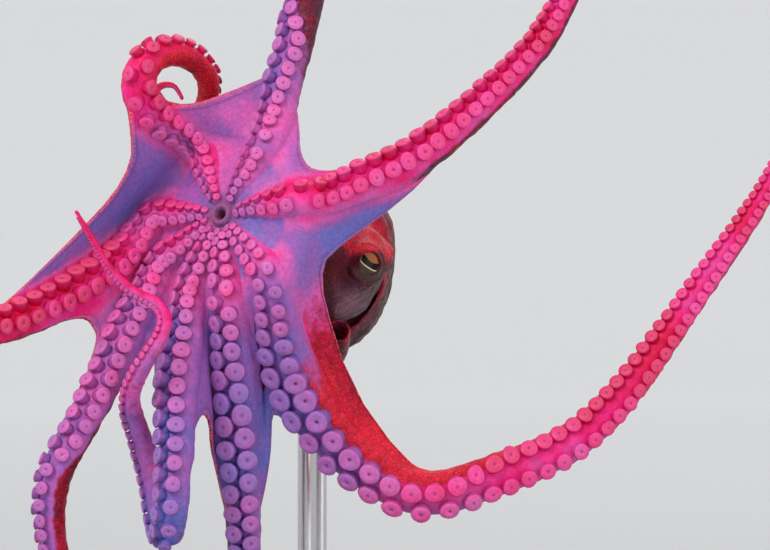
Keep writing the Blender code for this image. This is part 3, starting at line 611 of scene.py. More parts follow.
def oral_disc(skin, arms, grids, webs):
    """The face round the mouth: the arms' ridges run in towards the lips, lower and narrower, with straight
    spans between them; then the lips' puckered ring and the throat, which ends closed."""
    right, up = crown_axes()
    front = -unit(BODY_AXIS)
    mouth = arms[0].mouth
    share = np.arange(1, DISC_STEPS + 1) / DISC_STEPS
    rho = ARM_START - (ARM_START - DISC_EDGE) * share**0.95
    u = web_columns()
    ridges = []
    for arm in arms:
        angle = arm.ring_angles(np.zeros(1))[0, : FACE_STEPS + 1]
        radius = arm.radius(np.zeros_like(angle), angle)
        wide, high = ridge(rho)
        _, _, oral, side = arm.frame(0.0)
        x = wide[:, None] * radius * np.cos(angle)
        z = disc_height(rho)[:, None] + high[:, None] * radius * np.sin(angle)
        ridges.append(mouth + arm.out * rho[:, None, None] + x[..., None] * side + z[..., None] * oral)
    outer, columns, tints = [], [], []
    for k, arm in enumerate(arms):
        after = arms[(k + 1) % len(arms)]
        between = mix(WEBS[arm.name, after.name][4], mix(arm.tint(0.0), after.tint(0.0), u[1:-1]), 0.3)
        tints += [np.full(FACE_STEPS + 1, arm.tint(0.0)), between]
        following = ridges[(k + 1) % len(arms)]
        gap = mix(ridges[k][:, :1], following[:, -1:], u[None, :, None])
        row = webs[k][1][0][0]
        straight = mix(row[0], row[-1], u[:, None])
        gap = gap + (row - straight)[None] * ((1 - share) ** 2)[:, None, None]
        columns += [ridges[k][:, ::-1], gap[:, 1:-1]]
        outer += [grids[arm.name][0][0, FACE_STEPS::-1], webs[k][0][0][0, 1:-1]]
    points = np.concatenate(columns, axis=1)
    flat = points[-1] - mouth
    round_mouth = np.arctan2(flat @ up, flat @ right)
    profile = np.array(LIPS) * MM
    pucker = 0.28 * MM * np.sin(np.pi * np.arange(len(profile)) / (len(profile) - 1)) ** 2
    rim = profile[:, :1] + pucker[:, None] * np.cos(PUCKERS * round_mouth)
    height = profile[:, 1:] + 0.6 * pucker[:, None] * np.sin(PUCKERS * round_mouth)
    lips = mouth + rim[..., None] * swing(round_mouth, right, up) + height[..., None] * front
    nearing = 0.7 * smoothstep((15 * MM - rho) / (8 * MM))
    lip = np.hstack((nearing, 0.7 + 0.3 * np.arange(len(LIPS)) / len(LIPS)))
    tints = mix(np.concatenate(tints), CROWN_TINT, np.linspace(0, 1, len(lip))[:, None] ** 1.4)
    numbers = skin.add(np.concatenate((points, lips)), face=1, lip=lip[:, None], relief=0.15, tint=tints)
    skin.quads(closed(np.vstack((np.concatenate(outer)[None], numbers))))
    skin.close(numbers[-1], mouth - 2 * MM * front, face=1, lip=1)


def mantle_rows():
    """The rows past the neck: distances along the spine and shares of the way from neck to mantle, on the
    open side, where the skin turns in under the mantle's edge, and on the back, where it runs straight on."""
    opened = ((122, 0.0), (130, -0.05), (135, -0.06), (138, 0.0), (138.5, 0.13), (136.5, 0.24), (133, 0.31),
              (130, 0.38), (128.4, 0.47), (128.2, 0.58), (129.4, 0.69), (132.4, 0.80), (137, 0.91))
    straight = [(x, smoothstep((x - 118) / 19)) for x in np.linspace(119, 137, len(opened))]
    return np.array(opened), np.array(straight)


def body_rows(skin, spine, eyes, grids, webs, arms):
    """Head and mantle: columns carried from the arms' backs over a Hermite neck, along the spine, round the
    mantle's edge and to the mantle's tip."""
    right, up = crown_axes()
    back = unit(BODY_AXIS)
    loop, start = [], []
    for k, arm in enumerate(arms):
        first = FACE_STEPS + ROOT_STEPS
        loop += [grids[arm.name][0][0, first : first + BACK_STEPS + 1], webs[k][0][1][0, 1:-1]]
        start += [grids[arm.name][1][0, first : first + BACK_STEPS + 1], webs[k][1][1][0, 1:-1]]
    loop, start = np.concatenate(loop), np.concatenate(start)
    flat = start - arms[0].mouth
    around = np.unwrap(np.arctan2(flat @ up, flat @ right))
    count = len(loop)
    even = -2 * np.pi * np.arange(count) / count
    even = even + (around - even).mean()

    def turn_at(at):
        return mix(around, even, smoothstep(at / (55 * MM))[..., None])

    first_ring = np.full((1, count), HEAD_START)
    target = spine.section(spine.head, first_ring, turn_at(np.array([HEAD_START])))[0]
    ahead = spine.section(spine.head, first_ring + MM, turn_at(np.array([HEAD_START + MM])))[0]
    radial = unit(flat - (flat @ back)[:, None] * back)
    leave = 26 * MM * (0.55 * back - 0.85 * radial)
    arrive = 30 * MM * unit(ahead - target)
    q = (np.arange(1, NECK_STEPS) / NECK_STEPS)[:, None, None]
    neck = hermite(q, start[None], target[None], leave[None], arrive[None])
    head_at = np.linspace(HEAD_START, HEAD_END, 58)
    head = spine.section(spine.head, np.repeat(head_at[:, None], count, 1), turn_at(head_at))
    # Round the edge of the mantle.
    opened, straight = mantle_rows()
    below = smoothstep((-np.sin(even) + 0.02) / 0.62)
    at = MM * mix(straight[:, :1], opened[:, :1], below)
    outwards = mix(straight[:, 1:], opened[:, 1:], below)
    turn = np.broadcast_to(even, at.shape)
    inside, outside = spine.section(spine.head, at, turn), spine.section(spine.mantle, at, turn, SHOULDER)
    edge = mix(inside, outside, outwards[..., None])
    rounding = MANTLE_ROUND + (MANTLE_END - 0.2 - MANTLE_ROUND) * np.sin(np.radians(np.arange(6, 90, 7)))
    mantle_at = MM * np.concatenate((np.linspace(139, MANTLE_ROUND, 54), rounding))
    mantle_rows_at = np.repeat(mantle_at[:, None], count, 1)
    mantle = spine.section(spine.mantle, mantle_rows_at, np.tile(even, (len(mantle_at), 1)), SHOULDER)
    points = np.concatenate((neck, head, edge, mantle))
    rows = len(points)
    body = smoothstep(np.arange(1, rows + 1) / (NECK_STEPS + 6))[:, None]
    relief = 0.15 + 0.85 * body
    # Along the mantle's edge the tone is raised by a painted rim light.
    tone = np.concatenate((np.full(NECK_STEPS + len(head_at) - 1, BODY_TONE),
                           BODY_TONE + MANTLE_EDGE_RIM_LIGHT * np.sin(np.pi * np.linspace(0, 1, len(opened))),
                           np.full(len(mantle_at), MANTLE_TONE)))
    numbers = skin.add(points, body=body, relief=relief, back=tone[:, None])
    grid = closed(np.vstack((loop[None], numbers)))
    keep = np.ones((rows, count), bool)
    all_at = np.concatenate((np.zeros(NECK_STEPS), head_at))
    for side, eye in enumerate(eyes):
        middle = spine_turn(spine, eye)
        before, behind, beside = EYE_WINDOW
        lowest, highest = np.searchsorted(all_at, (EYE_AT - before, EYE_AT + behind))
        columns = np.nonzero(np.abs(wrapped(even - middle)) < beside)[0]
        a, b = columns[0], columns[-1]
        keep[lowest:highest, a:b] = False
        edge_loop = np.concatenate((grid[lowest, a:b], grid[lowest:highest, b], grid[highest, b:a:-1],
                                    grid[highest:lowest:-1, a]))
        place = np.concatenate((
            np.stack((np.full(b - a, all_at[lowest]), even[a:b]), 1),
            np.stack((all_at[lowest:highest], np.full(highest - lowest, even[b])), 1),
            np.stack((np.full(b - a, all_at[highest]), even[b:a:-1]), 1),
            np.stack((all_at[highest:lowest:-1], np.full(highest - lowest, even[a])), 1),
        ))
        eye_patch(skin, spine, eyes, side, edge_loop, place, middle)
    skin.quads(grid[:, ::-1], keep[:, ::-1])
    skin.close(numbers[-1][::-1], spine.frame(MANTLE_END * MM)[0], body=1, relief=1, back=BODY_TONE)


def spine_turn(spine, point):
    """The turn about the spine at which a point beside the head lies."""
    middle, right, up, _ = spine.frame(EYE_AT)
    return math.atan2((point - middle) @ up, (point - middle) @ right)


EYE_RADIUS = 0.5 * (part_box("eye_left")[1][2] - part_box("eye_left")[0][2])
LID_RADIUS = EYE_RADIUS + 1.2 * MM
EYE_FORWARD = math.radians(30)  # that the eyes look towards the arms
EYE_UP = math.radians(4)
PUPIL_ROLL = math.radians(-22)
LID_OPENING = math.radians(34)


def eye_axes(spine, side):
    """The way an eye looks, and the long and short ways of its slit."""
    _, right, up, tangent = spine.frame(EYE_AT)
    sideways = side * right
    look = math.cos(EYE_FORWARD) * sideways - math.sin(EYE_FORWARD) * tangent
    look = unit(math.cos(EYE_UP) * look + math.sin(EYE_UP) * up)
    long_way = unit(tangent - (tangent @ look) * look)
    short_way = unit(up - (up @ look) * look - (up @ long_way) * long_way)
    turned = math.cos(PUPIL_ROLL) * long_way + math.sin(PUPIL_ROLL) * short_way
    return look, turned, unit(short_way - (short_way @ turned) * turned)


def eye_patch(skin, spine, eyes, side, edge_loop, place, middle):
    """The skin round an eye, in rings about the way the eye looks. From the head's own surface each ring
    moves over to a ball a little larger than the eye, runs up it to the opening, and turns in under the
    lid's round edge."""
    centre = eyes[side]
    look, long_way, short_way = eye_axes(spine, 1 if side == 0 else -1)
    border = spine.section(spine.head, place[:, 0], place[:, 1])
    way = border - centre
    around = np.arctan2(way @ short_way, way @ long_way)
    first = np.minimum(np.arccos(unit(way) @ look), math.radians(112))
    opening = LID_OPENING * (1 - 0.10 * np.sin(around) - 0.04 * np.cos(2 * around))
    steps = np.arange(1, 27) / 26
    share = steps[:, None]
    inwards = 1 - 0.72 * share
    at = EYE_AT + (place[:, 0] - EYE_AT) * inwards
    turn = middle + wrapped(place[:, 1] - middle) * inwards
    own = spine.section(spine.head, at, turn)
    polar = mix(first, opening, share)
    degrees = np.degrees(polar)
    ring = swing(around, long_way, short_way)

    def swelling(middle, reach):
        return np.exp(-(((degrees - middle) / reach) ** 2))

    def on_ball(radius, polar):
        return centre + radius[..., None] * swing(polar, look, ring)

    fold = 0.7 * MM * swelling(53, 5) - 0.7 * MM * swelling(63, 5)
    brow = 1.6 * MM * smoothstep(np.sin(around)) * swelling(66, 16)
    lid = mix(own, on_ball(LID_RADIUS + fold + brow, polar), smoothstep(share / 0.62)[..., None])
    turned_in = ((0.25, 1.5), (0.1, 3.5), (-0.5, 5.2), (-1.4, 6.0), (-2.6, 5.5))
    rim = np.array([on_ball(np.full_like(opening, LID_RADIUS + more * MM), opening - math.radians(less))
                    for more, less in turned_in])
    relief = np.concatenate((1 - smoothstep((steps - 0.35) / 0.35), np.zeros(len(rim))))
    numbers = skin.add(np.concatenate((lid, rim)), body=1, relief=relief[:, None], back=BODY_TONE)
    skin.quads(closed(np.vstack((edge_loop[None], numbers)))[:, ::-1])
    skin.close(numbers[-1][::-1], centre, body=1, back=BODY_TONE)


def funnel_tube(skin, mouth):
    """The siphon: rings of shrinking radius along a bent line, turned in at its mouth and closed inside."""
    line = mouth + MM * smooth_line(FUNNEL_ROUTE, 12)
    at = lengths_along(line)
    tangent = unit(np.gradient(line, at, axis=0))
    right = unit(np.cross(tangent, (0, 0, 1.0)))
    up = np.cross(right, tangent)
    radius = MM * np.interp(at, np.linspace(0, at[-1], len(FUNNEL_RADII)), FUNNEL_RADII)
    turn = circle(40)
    around = swing(turn, right[:, None], up[:, None])
    uneven = 1 + 0.03 * np.sin(3 * turn + 1) + 0.02 * np.sin(5 * turn)
    rings = line[:, None] + (radius[:, None] * uneven)[..., None] * around
    lip = ((0.6, 0.99), (0.9, 0.93), (0.8, 0.87), (0.0, 0.82), (-3.0, 0.76), (-8.0, 0.66), (-12.0, 0.5))
    turned = np.array([line[-1] + shift * MM * tangent[-1] + part * radius[-1] * uneven[:, None] * around[-1]
                       for shift, part in lip])
    numbers = skin.add(np.concatenate((rings, turned)), body=0.7, relief=0.4, face=0.16, tint=0.4, back=0.34)
    skin.quads(closed(numbers))
    skin.close(numbers[-1], line[-1] - 13 * MM * tangent[-1], body=0.7)
    skin.close(numbers[0][::-1], line[0], body=0.7)


# --- Blender meshes ---
def linked(thing):
    bpy.context.scene.collection.objects.link(thing)
    return thing


def mesh_object(name, points, faces, marks=None):
    """A mesh object at the origin. A face whose last two corners are the same is a triangle."""
    mesh = bpy.data.meshes.new(name)
    triangle = faces[:, 2] == faces[:, 3]
    sizes = np.where(triangle, 3, 4)
    corners = faces.reshape(-1)[np.repeat(~triangle, 4) | (np.arange(faces.size) % 4 < 3)]
    mesh.vertices.add(len(points))
    mesh.vertices.foreach_set("co", points.astype(np.float32).ravel())
    mesh.loops.add(len(corners))
    mesh.loops.foreach_set("vertex_index", corners.astype(np.int32))
    mesh.polygons.add(len(faces))
    mesh.polygons.foreach_set("loop_start", np.concatenate(((0,), np.cumsum(sizes)[:-1])).astype(np.int32))
    mesh.update(calc_edges=True)
    for key, values in (marks or {}).items():
        kind = "FLOAT" if values.ndim == 1 else "FLOAT_VECTOR"
        layer = mesh.attributes.new(key, kind, "POINT")
        layer.data.foreach_set("value" if kind == "FLOAT" else "vector", values.astype(np.float32).ravel())
    mesh.shade_smooth()
    mesh.validate()
    return linked(bpy.data.objects.new(name, mesh))


def mesh_piece(name, points, faces, marks=None, sharp=None):
    """A mesh of the model, with hard edges from an angle in degrees on."""
    piece = mesh_object(name, points, faces, marks)
    if sharp:
        piece.data.set_sharp_from_angle(angle=math.radians(sharp))
    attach(piece, "root")
    return piece


def ring_numbers(rings):
    return np.arange(rings[..., 0].size).reshape(rings.shape[:2])


def flipped(faces):
    """The same faces looking the other way."""
    return np.where(faces[:, 2:3] == faces[:, 3:], faces[:, (1, 0, 2, 3)], faces[:, ::-1])


def capped_rings(rings, ends):
    """Points and faces of a stack of rings, closed at both ends by a fan to a point. They look the way
    that points from ring to ring, crossed with the way along a ring."""
    numbers = ring_numbers(rings)
    fans = fan_faces(numbers[0][::-1], numbers.size), fan_faces(numbers[-1], numbers.size + 1)
    return np.vstack((rings.reshape(-1, 3), ends)), np.vstack((grid_faces(closed(numbers)), *fans))


def summed(numbers, vectors, count):
    """For each number below count, the sum of its vectors."""
    return np.stack([np.bincount(numbers, vectors[:, axis], count) for axis in range(3)], axis=1)


def point_normals(points, faces):
    """Each point's normal: the sum of the cross products of its faces' diagonals, made one long."""
    cross = np.cross(points[faces[:, 2]] - points[faces[:, 0]], points[faces[:, 3]] - points[faces[:, 1]])
    total = summed(faces.ravel(), np.repeat(cross, 4, axis=0), len(points))
    return total / np.maximum(np.linalg.norm(total, axis=1, keepdims=True), 1e-30)


def relaxed(points, faces, amount, rounds):
    """Moves each point towards the middle of its neighbours by its own amount, a few times."""
    pairs = np.vstack([faces[:, [k, (k + 1) % 4]] for k in range(4)])
    pairs = pairs[pairs[:, 0] != pairs[:, 1]]
    number = np.bincount(pairs[:, 0], minlength=len(points))
    for _ in range(rounds):
        middle = summed(pairs[:, 0], points[pairs[:, 1]], len(points)) / np.maximum(number, 1)[:, None]
        points = points + (middle - points) * amount[:, None]
    return points


def used_only(points, faces, marks):
    used = np.zeros(len(points), bool)
    used[faces.ravel()] = True
    number = np.cumsum(used) - 1
    return points[used], number[faces], marks[used]


def rosiness_with_painted_light(points, normals, tint):
    """How rosy pale flesh is: by its tint, more where it faces up, which is painted pink light from above,
    and a little uneven.
    """
    return tint + normals @ np.array((0.08, 0.0, 0.22)) + 0.08 * ripples(points, 42 * MM, 6)


CHEEK_HIGHLIGHT_PLACE = np.array((-5, -23)) * MM  # a painted highlight's place, a pale spot to the side of the left eye and above it
CHEEK_HIGHLIGHT_REACH = 9.5 * MM
LID_RING, LID_RING_HALF = 9.5 * MM, 3 * MM  # from the pupil's middle


def make_skin(arms, spine, eyes):
    """The skin over all the flesh: relaxed, with folds along its normals, and with the marks that its
    material reads. Its ember, the tone of the coloured side, holds painted light, brighter where it
    faces up and above the eyes; cheek marks a painted highlight, a pale spot beside each eye, and lid
    marks a dull ring at each eye."""
    skin = Skin()
    grids = {arm.name: arm_rows(skin, arm) for arm in arms}
    webs = [web_sheets(skin, a, b, grids) for a, b in zip(arms, arms[1:] + arms[:1])]
    oral_disc(skin, arms, grids, webs)
    body_rows(skin, spine, eyes, grids, webs, arms)
    funnel_tube(skin, arms[0].mouth)
    points, faces, marks = used_only(*skin.gathered())
    mark = dict(zip(MARKS, marks.T))
    points = relaxed(points, faces, 0.5 * (1 - mark["lip"]) * mark["relief"], 2)
    normals = point_normals(points, faces)
    depth = mark["relief"] * (1 - 0.8 * mark["web"]) * (
        0.55 * MM * (0.4 + 0.6 * mark["body"]) * ripples(points, 17 * MM, 1)
        + 0.28 * MM * ripples(points, 7 * MM, 2)
    )
    points = points + normals * depth[:, None]
    shades = {key: mark[key] for key in ("face", "web", "body", "lip", "rim")}
    shades["rose_with_painted_light"] = rosiness_with_painted_light(points, normals, mark["tint"])
    uneven = ripples(points, 40 * MM, 7)
    above_eyes = points[:, 2] - eyes[0][2] - 4 * MM + 4 * MM * ripples(points, 15 * MM, 9)
    behind_eyes = points[:, 1] - eyes[0][1]
    headwards = 1 - smoothstep((behind_eyes - 34 * MM) / (16 * MM))
    # Painted light on the coloured side: its tone rises where the skin faces up and on the head above the
    # eyes.
    crown_painted_light = mix(0.20, 0.60, headwards) * mark["body"] * smoothstep(above_eyes / (9 * MM))
    shades["ember_with_painted_light"] = mark["back"] + mix(0.32, 0.14, mark["body"]) * normals[:, 2] + 0.10 * uneven + crown_painted_light
    shades["cheek_highlight"], shades["lid"] = np.zeros((2, len(points)))
    for eye, side in zip(eyes, (1, -1)):
        # A painted highlight beside each eye, on skin facing the front.
        spot = ((points - eye)[:, (0, 2)] - CHEEK_HIGHLIGHT_PLACE * (side, 1)) / (CHEEK_HIGHLIGHT_REACH, 1.25 * CHEEK_HIGHLIGHT_REACH)
        forwards = mark["body"] * smoothstep(0.3 - 2 * normals[:, 1])
        shades["cheek_highlight"] += forwards * np.exp(-(spot**2).sum(1))
        pupil = eye + LID_RADIUS * eye_axes(spine, side)[0]
        ring = (np.linalg.norm(points - pupil, axis=1) - LID_RING) / LID_RING_HALF
        below = smoothstep((eye[2] + 1 * MM - points[:, 2]) / (5 * MM))
        shades["lid"] += mark["body"] * np.exp(-(ring**2)) * below
    return mesh_piece("octopus_skin", points, faces, shades)


# --- suckers ---
SUCKER_LEAN = {"l3": -17, "l4": -4}  # degrees that the rows lean apart, where it isn't 9
CROWN_SUCKER = 0.88  # size near the crown against that past the webs
SUCKER_PITCH = 1.02  # between neighbours of a row, in diameters
FIRST_SUCKER = -29 * MM  # from the arms' start, on the disc
# A sucker's half outline from its foot, in rim radii: (radius, height, part), where the part runs from 0 at
# the foot over 0.5 at the rim to 1 in the hole. It rises with a slight waist, spreads into a thick round
# rim, and is nearly flat on top, with a small hole.
LARGE_SUCKER = ((0.90, -0.30, 0.0), (0.80, 0.06, 0.2), (0.84, 0.38, 0.35), (0.98, 0.60, 0.46),
                (1.00, 0.72, 0.5), (0.90, 0.83, 0.6), (0.64, 0.84, 0.72), (0.36, 0.80, 0.84),
                (0.14, 0.75, 0.93), (0.06, 0.60, 1.0))
MIDDLE_SUCKER = ((0.88, -0.30, 0.0), (0.80, 0.20, 0.25), (1.00, 0.64, 0.5), (0.86, 0.82, 0.64),
                 (0.14, 0.76, 0.94))
SMALL_SUCKER = ((0.86, -0.30, 0.0), (0.84, 0.25, 0.28), (1.00, 0.64, 0.5), (0.80, 0.81, 0.65),
                (0.16, 0.74, 0.93))
# For rim radii from this many mm on: the outline and how many sides it turns in.
SUCKER_KINDS = ((6.6, LARGE_SUCKER, 20), (3.0, MIDDLE_SUCKER, 14), (0, SMALL_SUCKER, 10))


def sucker_places(arm):
    """(length, row, rim radius) of every sucker, from beside the mouth to the tip, in two staggered rows."""
    found = []
    for row in (-1, 1):
        s = FIRST_SUCKER
        while s < arm.length - 3 * MM:
            inwards = max(-s, 0) / -FIRST_SUCKER
            grown = mix(CROWN_SUCKER, 1, float(smoothstep(s / FULL_WIDTH_AT))) * (1 - 0.42 * inwards)
            radius = 0.5 * arm.rim * grown * float(arm.width_at(max(s, 0)))
            found.append((s + (SUCKER_PITCH * radius if row > 0 else 0), row, radius))
            s += 2 * SUCKER_PITCH * radius
    return np.array(found)


def sucker_frames(arm, s, row):
    """Foot, outward axis and the arm's direction for each sucker. On the disc the foot follows the ridge."""
    on_arm = np.maximum(s, 0)
    angle = arm.sucker_angle(on_arm) + row * arm.sucker_splay(on_arm)
    foot = arm.surface(on_arm, angle)
    _, tangent, oral, side = arm.frame(on_arm)
    tilt = angle + row * math.radians(SUCKER_LEAN.get(arm.name, 9))
    axis = swing(tilt, side, oral)
    rho = ARM_START + np.minimum(s, 0)
    wide, high = ridge(np.minimum(rho, ARM_START))
    radius = arm.radius(on_arm, angle)
    x, z = wide * radius * np.cos(angle), disc_height(rho) + high * radius * np.sin(angle)
    on_disc = arm.mouth + arm.out * rho[:, None] + x[:, None] * side + z[:, None] * oral
    foot = np.where((s < 0)[:, None], on_disc, foot)
    inwards = np.clip(-s / -FIRST_SUCKER, 0, 1)[:, None]
    axis = unit(axis - 0.25 * inwards * arm.out)
    return foot, axis, tangent


def cups(foot, axis, tangent, radius, outline, sides):
    """Revolved cups as one mesh: ring k of a cup lies at its outline's radius and height, its circle a
    little oval and wavy, leaning a little its own way."""
    count = len(foot)
    lean = DRAW.normal(0, 0.09, (count, 2))
    tangent = unit(tangent - (tangent * axis).sum(1, keepdims=True) * axis)
    across = np.cross(axis, tangent)
    leaning = unit(axis + lean[:, :1] * tangent + lean[:, 1:] * across)
    turn = circle(sides)
    profile = np.array(outline)
    oval = DRAW.uniform(0.93, 1.07, count)[:, None, None]
    wave = 0.035 * np.sin(3 * turn + DRAW.uniform(0, 6.3, (count, 1)))
    wave = 1 + wave[:, None, :] * profile[:, 1:2].clip(0)
    tall = DRAW.uniform(0.86, 1.16, count)[:, None]
    shut = DRAW.uniform(0.0, 0.16, count)[:, None] * profile[:, 1].clip(0) ** 3
    ring = (profile[:, 0] * (1 - shut))[..., None] * wave
    x = ring * np.cos(turn) * oval
    y = ring * np.sin(turn) / oval
    size = radius[:, None, None, None]
    rise = profile[:, 1] * tall
    upright = axis[:, None, None] * (rise * 0.45)[..., None, None]
    leaned = leaning[:, None, None] * (rise * 0.55)[..., None, None]
    flat = x[..., None] * tangent[:, None, None] + y[..., None] * across[:, None, None]
    points = foot[:, None, None] + size * (upright + leaned + flat)
    bottom = foot + radius[:, None] * axis * (profile[-1, 1] * 0.9)
    rings = len(profile)
    number = np.arange(count * rings * sides).reshape(count, rings, sides)
    after = np.roll(number, -1, axis=2)
    faces = np.stack((number[:, :-1], after[:, :-1], after[:, 1:], number[:, 1:]), axis=-1).reshape(-1, 4)
    poles = np.repeat(count * rings * sides + np.arange(count)[:, None], sides, 1)
    feet = poles + count
    closing = [np.stack((number[:, -1], after[:, -1], poles, poles), axis=-1).reshape(-1, 4),
               np.stack((after[:, 0], number[:, 0], feet, feet), axis=-1).reshape(-1, 4)]
    heights = np.broadcast_to(profile[None, :, 2:], x.shape)
    cup = np.stack((x, y, heights), axis=-1).reshape(-1, 3)
    cup = np.vstack((cup, np.tile((0, 0, 1.0), (count, 1)), np.zeros((count, 3))))
    tone = DRAW.uniform(0, 1, count)
    tones = np.concatenate((np.repeat(tone, rings * sides), tone, tone))
    under = foot + radius[:, None] * axis * profile[0, 1]
    places = np.vstack((points.reshape(-1, 3), bottom, under))
    return places, np.vstack((faces, *closing)), cup, tones


def make_suckers(arm):
    """One arm's suckers, in up to three kinds of cup by size."""
    places = sucker_places(arm)
    pieces, start, high = [], 0, np.inf
    for low, outline, sides in SUCKER_KINDS:
        picked = places[(places[:, 2] >= low * MM) & (places[:, 2] < high)]
        high = low * MM
        if not len(picked):
            continue
        s, row, radius = picked.T
        foot, axis, tangent = sucker_frames(arm, s, row)
        points, faces, cup, tone = cups(foot, axis, tangent, radius, outline, sides)
        # Rosier where a sucker faces up: painted pink light.
        rose_with_painted_light = rosiness_with_painted_light(foot, axis, arm.tint(np.maximum(s, 0)))
        each = len(outline) * sides
        rose_with_painted_light = np.concatenate((np.repeat(rose_with_painted_light, each), rose_with_painted_light, rose_with_painted_light))
        pieces.append((points, faces + start, cup, tone, rose_with_painted_light))
        start += len(points)
    points, faces, cup, tone, rose_with_painted_light = (np.concatenate(part) for part in zip(*pieces))
    return mesh_piece(f"suckers_{arm.name}", points, faces, {"cup": cup, "tone": tone, "rose_with_painted_light": rose_with_painted_light})


# --- eyes, beak and stand ---
def make_eye(spine, side, centre):
    """An eyeball: rings about the way it looks, each at its angle on the ball."""
    sense = 1 if side == "left" else -1
    look, long_way, short_way = eye_axes(spine, sense)
    polar = np.linspace(0, np.pi, 62)[1:-1, None]
    rings = centre + EYE_RADIUS * swing(polar, look, swing(circle(96), long_way, short_way))
    points, faces = capped_rings(rings, centre + EYE_RADIUS * np.array((look, -look)))
    local = (points - centre) @ np.stack((long_way, short_way, look), 1) / EYE_RADIUS
    return mesh_piece(f"eyeball_{side}", points, faces if sense > 0 else flipped(faces), {"eye_place": local})


def make_beak(mouth):
    """The beak's two horny jaws: half cones that curve to a point, the lower one outside the upper."""
    right, up = crown_axes()
    front = -unit(BODY_AXIS)
    along, turn = np.linspace(0, 1, 18)[:, None], np.linspace(-1.35, 1.35, 22)[None, :]
    points, faces, start = [], [], 0
    for sense, width, ahead in ((1, 3.0, 6.4), (-1, 3.9, 5.4)):
        size = width * MM * (1 - along**1.8) * 0.96 + 0.12 * MM
        x = size * np.sin(turn)
        y = sense * (size * np.cos(turn) * 0.9 - 1.2 * MM * (1 - along) - 0.3 * MM)
        z = np.broadcast_to(MM * (ahead * along - 1.0), x.shape)
        outer = mouth + x[..., None] * right + y[..., None] * up + z[..., None] * front
        inner = outer - 0.35 * MM * swing(turn, sense * up, right)
        grid = ring_numbers(outer)
        rim = np.concatenate((grid[0, :-1], grid[:-1, -1], grid[-1, :0:-1], grid[:0:-1, 0]))
        wall = np.stack((np.roll(rim, -1), rim), axis=1)
        wall = np.hstack((wall, wall[:, ::-1] + grid.size))
        made = np.vstack((grid_faces(grid)[:, ::-1], grid_faces(grid + grid.size), wall))
        faces.append((made if sense < 0 else made[:, ::-1]) + start)
        points.append(np.vstack((outer.reshape(-1, 3), inner.reshape(-1, 3))))
        start += 2 * grid.size
    return mesh_piece("beak", np.vstack(points), np.vstack(faces))


def turned_rings(profile, centre, sides):
    """Rings about the upright through centre, one for each (radius, height) of the profile."""
    radius, height = np.array(profile, float).T[..., None]
    turn = circle(sides)
    x, y = centre[0] + radius * np.cos(turn), centre[1] + radius * np.sin(turn)
    return np.stack((x, y, np.broadcast_to(height, x.shape)), axis=-1)


def rounded(x, y, radius, degrees):
    """Profile points of a round about (x, y), at angles in degrees."""
    return [(x + radius * math.cos(a), y + radius * math.sin(a)) for a in np.radians(degrees)]


def make_rod(node):
    """A rod with a domed top seat under the flesh and a round foot with eased edges, as a turned solid:
    its profile runs from the top of its outer side down and is closed on the axis at both ends."""
    low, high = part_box(node)
    centre = ((low.x + high.x) / 2, (low.y + high.y) / 2)
    foot_radius, top, floor = (high.x - low.x) / 2, high.z, low.z
    rod, foot = 5 * MM, floor + 7 * MM
    profile = [(rod - 1.2 * MM, top)]
    profile += rounded(rod - 0.8 * MM, top - 0.8 * MM, 0.8 * MM, np.linspace(80, 0, 5))
    profile += [(rod, foot + 2.2 * MM)]
    profile += rounded(rod + 2 * MM, foot + 2 * MM, 2 * MM, range(195, 271, 15))
    profile += rounded(foot_radius - 1.6 * MM, foot - 1.6 * MM, 1.6 * MM, np.linspace(90, 0, 5))
    profile += rounded(foot_radius - 0.4 * MM, floor + 0.4 * MM, 0.4 * MM, np.linspace(0, -90, 5))
    rings = turned_rings(profile, centre, 72)
    return mesh_piece(node + "_turned", *capped_rings(rings, [(*centre, top), (*centre, floor)]), sharp=40)


def make_base():
    """The base: a slab with round corners in plan, an eased foot, and a cove and round worked on its top
    edge. Each level is the plan's outline drawn in by that level's inset."""
    low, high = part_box("stand_base")
    corner, thickness = 45 * MM, 18
    levels = [(1.0, 0.0), (0.3, 0.3), (0.0, 1.0), (0.0, 10.5)]
    levels += [(2.6 - 2.6 * math.cos(a), 10.5 + 2.6 * math.sin(a)) for a in np.radians((20, 40, 60, 80))]
    levels += [(3.4, 13.3), (3.6, 13.9)]
    levels += [(7.0 - 3.4 * math.cos(a), 14.2 + 3.8 * math.sin(a)) for a in np.radians(range(0, 91, 18))]
    levels += [(inset, thickness) for inset in (14, 28, 44)]
    inset, height = np.array(levels).T[..., None]
    plan = []
    for x, y, first in ((1, 1, 0), (-1, 1, 90), (-1, -1, 180), (1, -1, 270)):
        plan += [(x, y, math.cos(a), math.sin(a)) for a in np.radians(first + np.linspace(0, 90, 19))]
    x, y, out_x, out_y = np.array(plan).T
    reach = corner - inset * MM
    x = x * ((high.x - low.x) / 2 - corner) + reach * out_x + (low.x + high.x) / 2
    y = y * ((high.y - low.y) / 2 - corner) + reach * out_y + (low.y + high.y) / 2
    z = np.broadcast_to(low.z + height * (high.z - low.z) / thickness, x.shape)
    rings = np.stack((x, y, z), axis=-1)
    points, faces = capped_rings(rings, (rings[0].mean(0), rings[-1].mean(0)))
    return mesh_piece("stand_base_moulded", points, flipped(faces), sharp=35)


# --- shader helpers ---
def fill(sockets, values):
    """Links or sets each socket of a node, by its name or number."""
    for key, value in values.items():
        if isinstance(value, bpy.types.NodeSocket):
            value.id_data.links.new(value, sockets[key])
        else:
            sockets[key].default_value = value


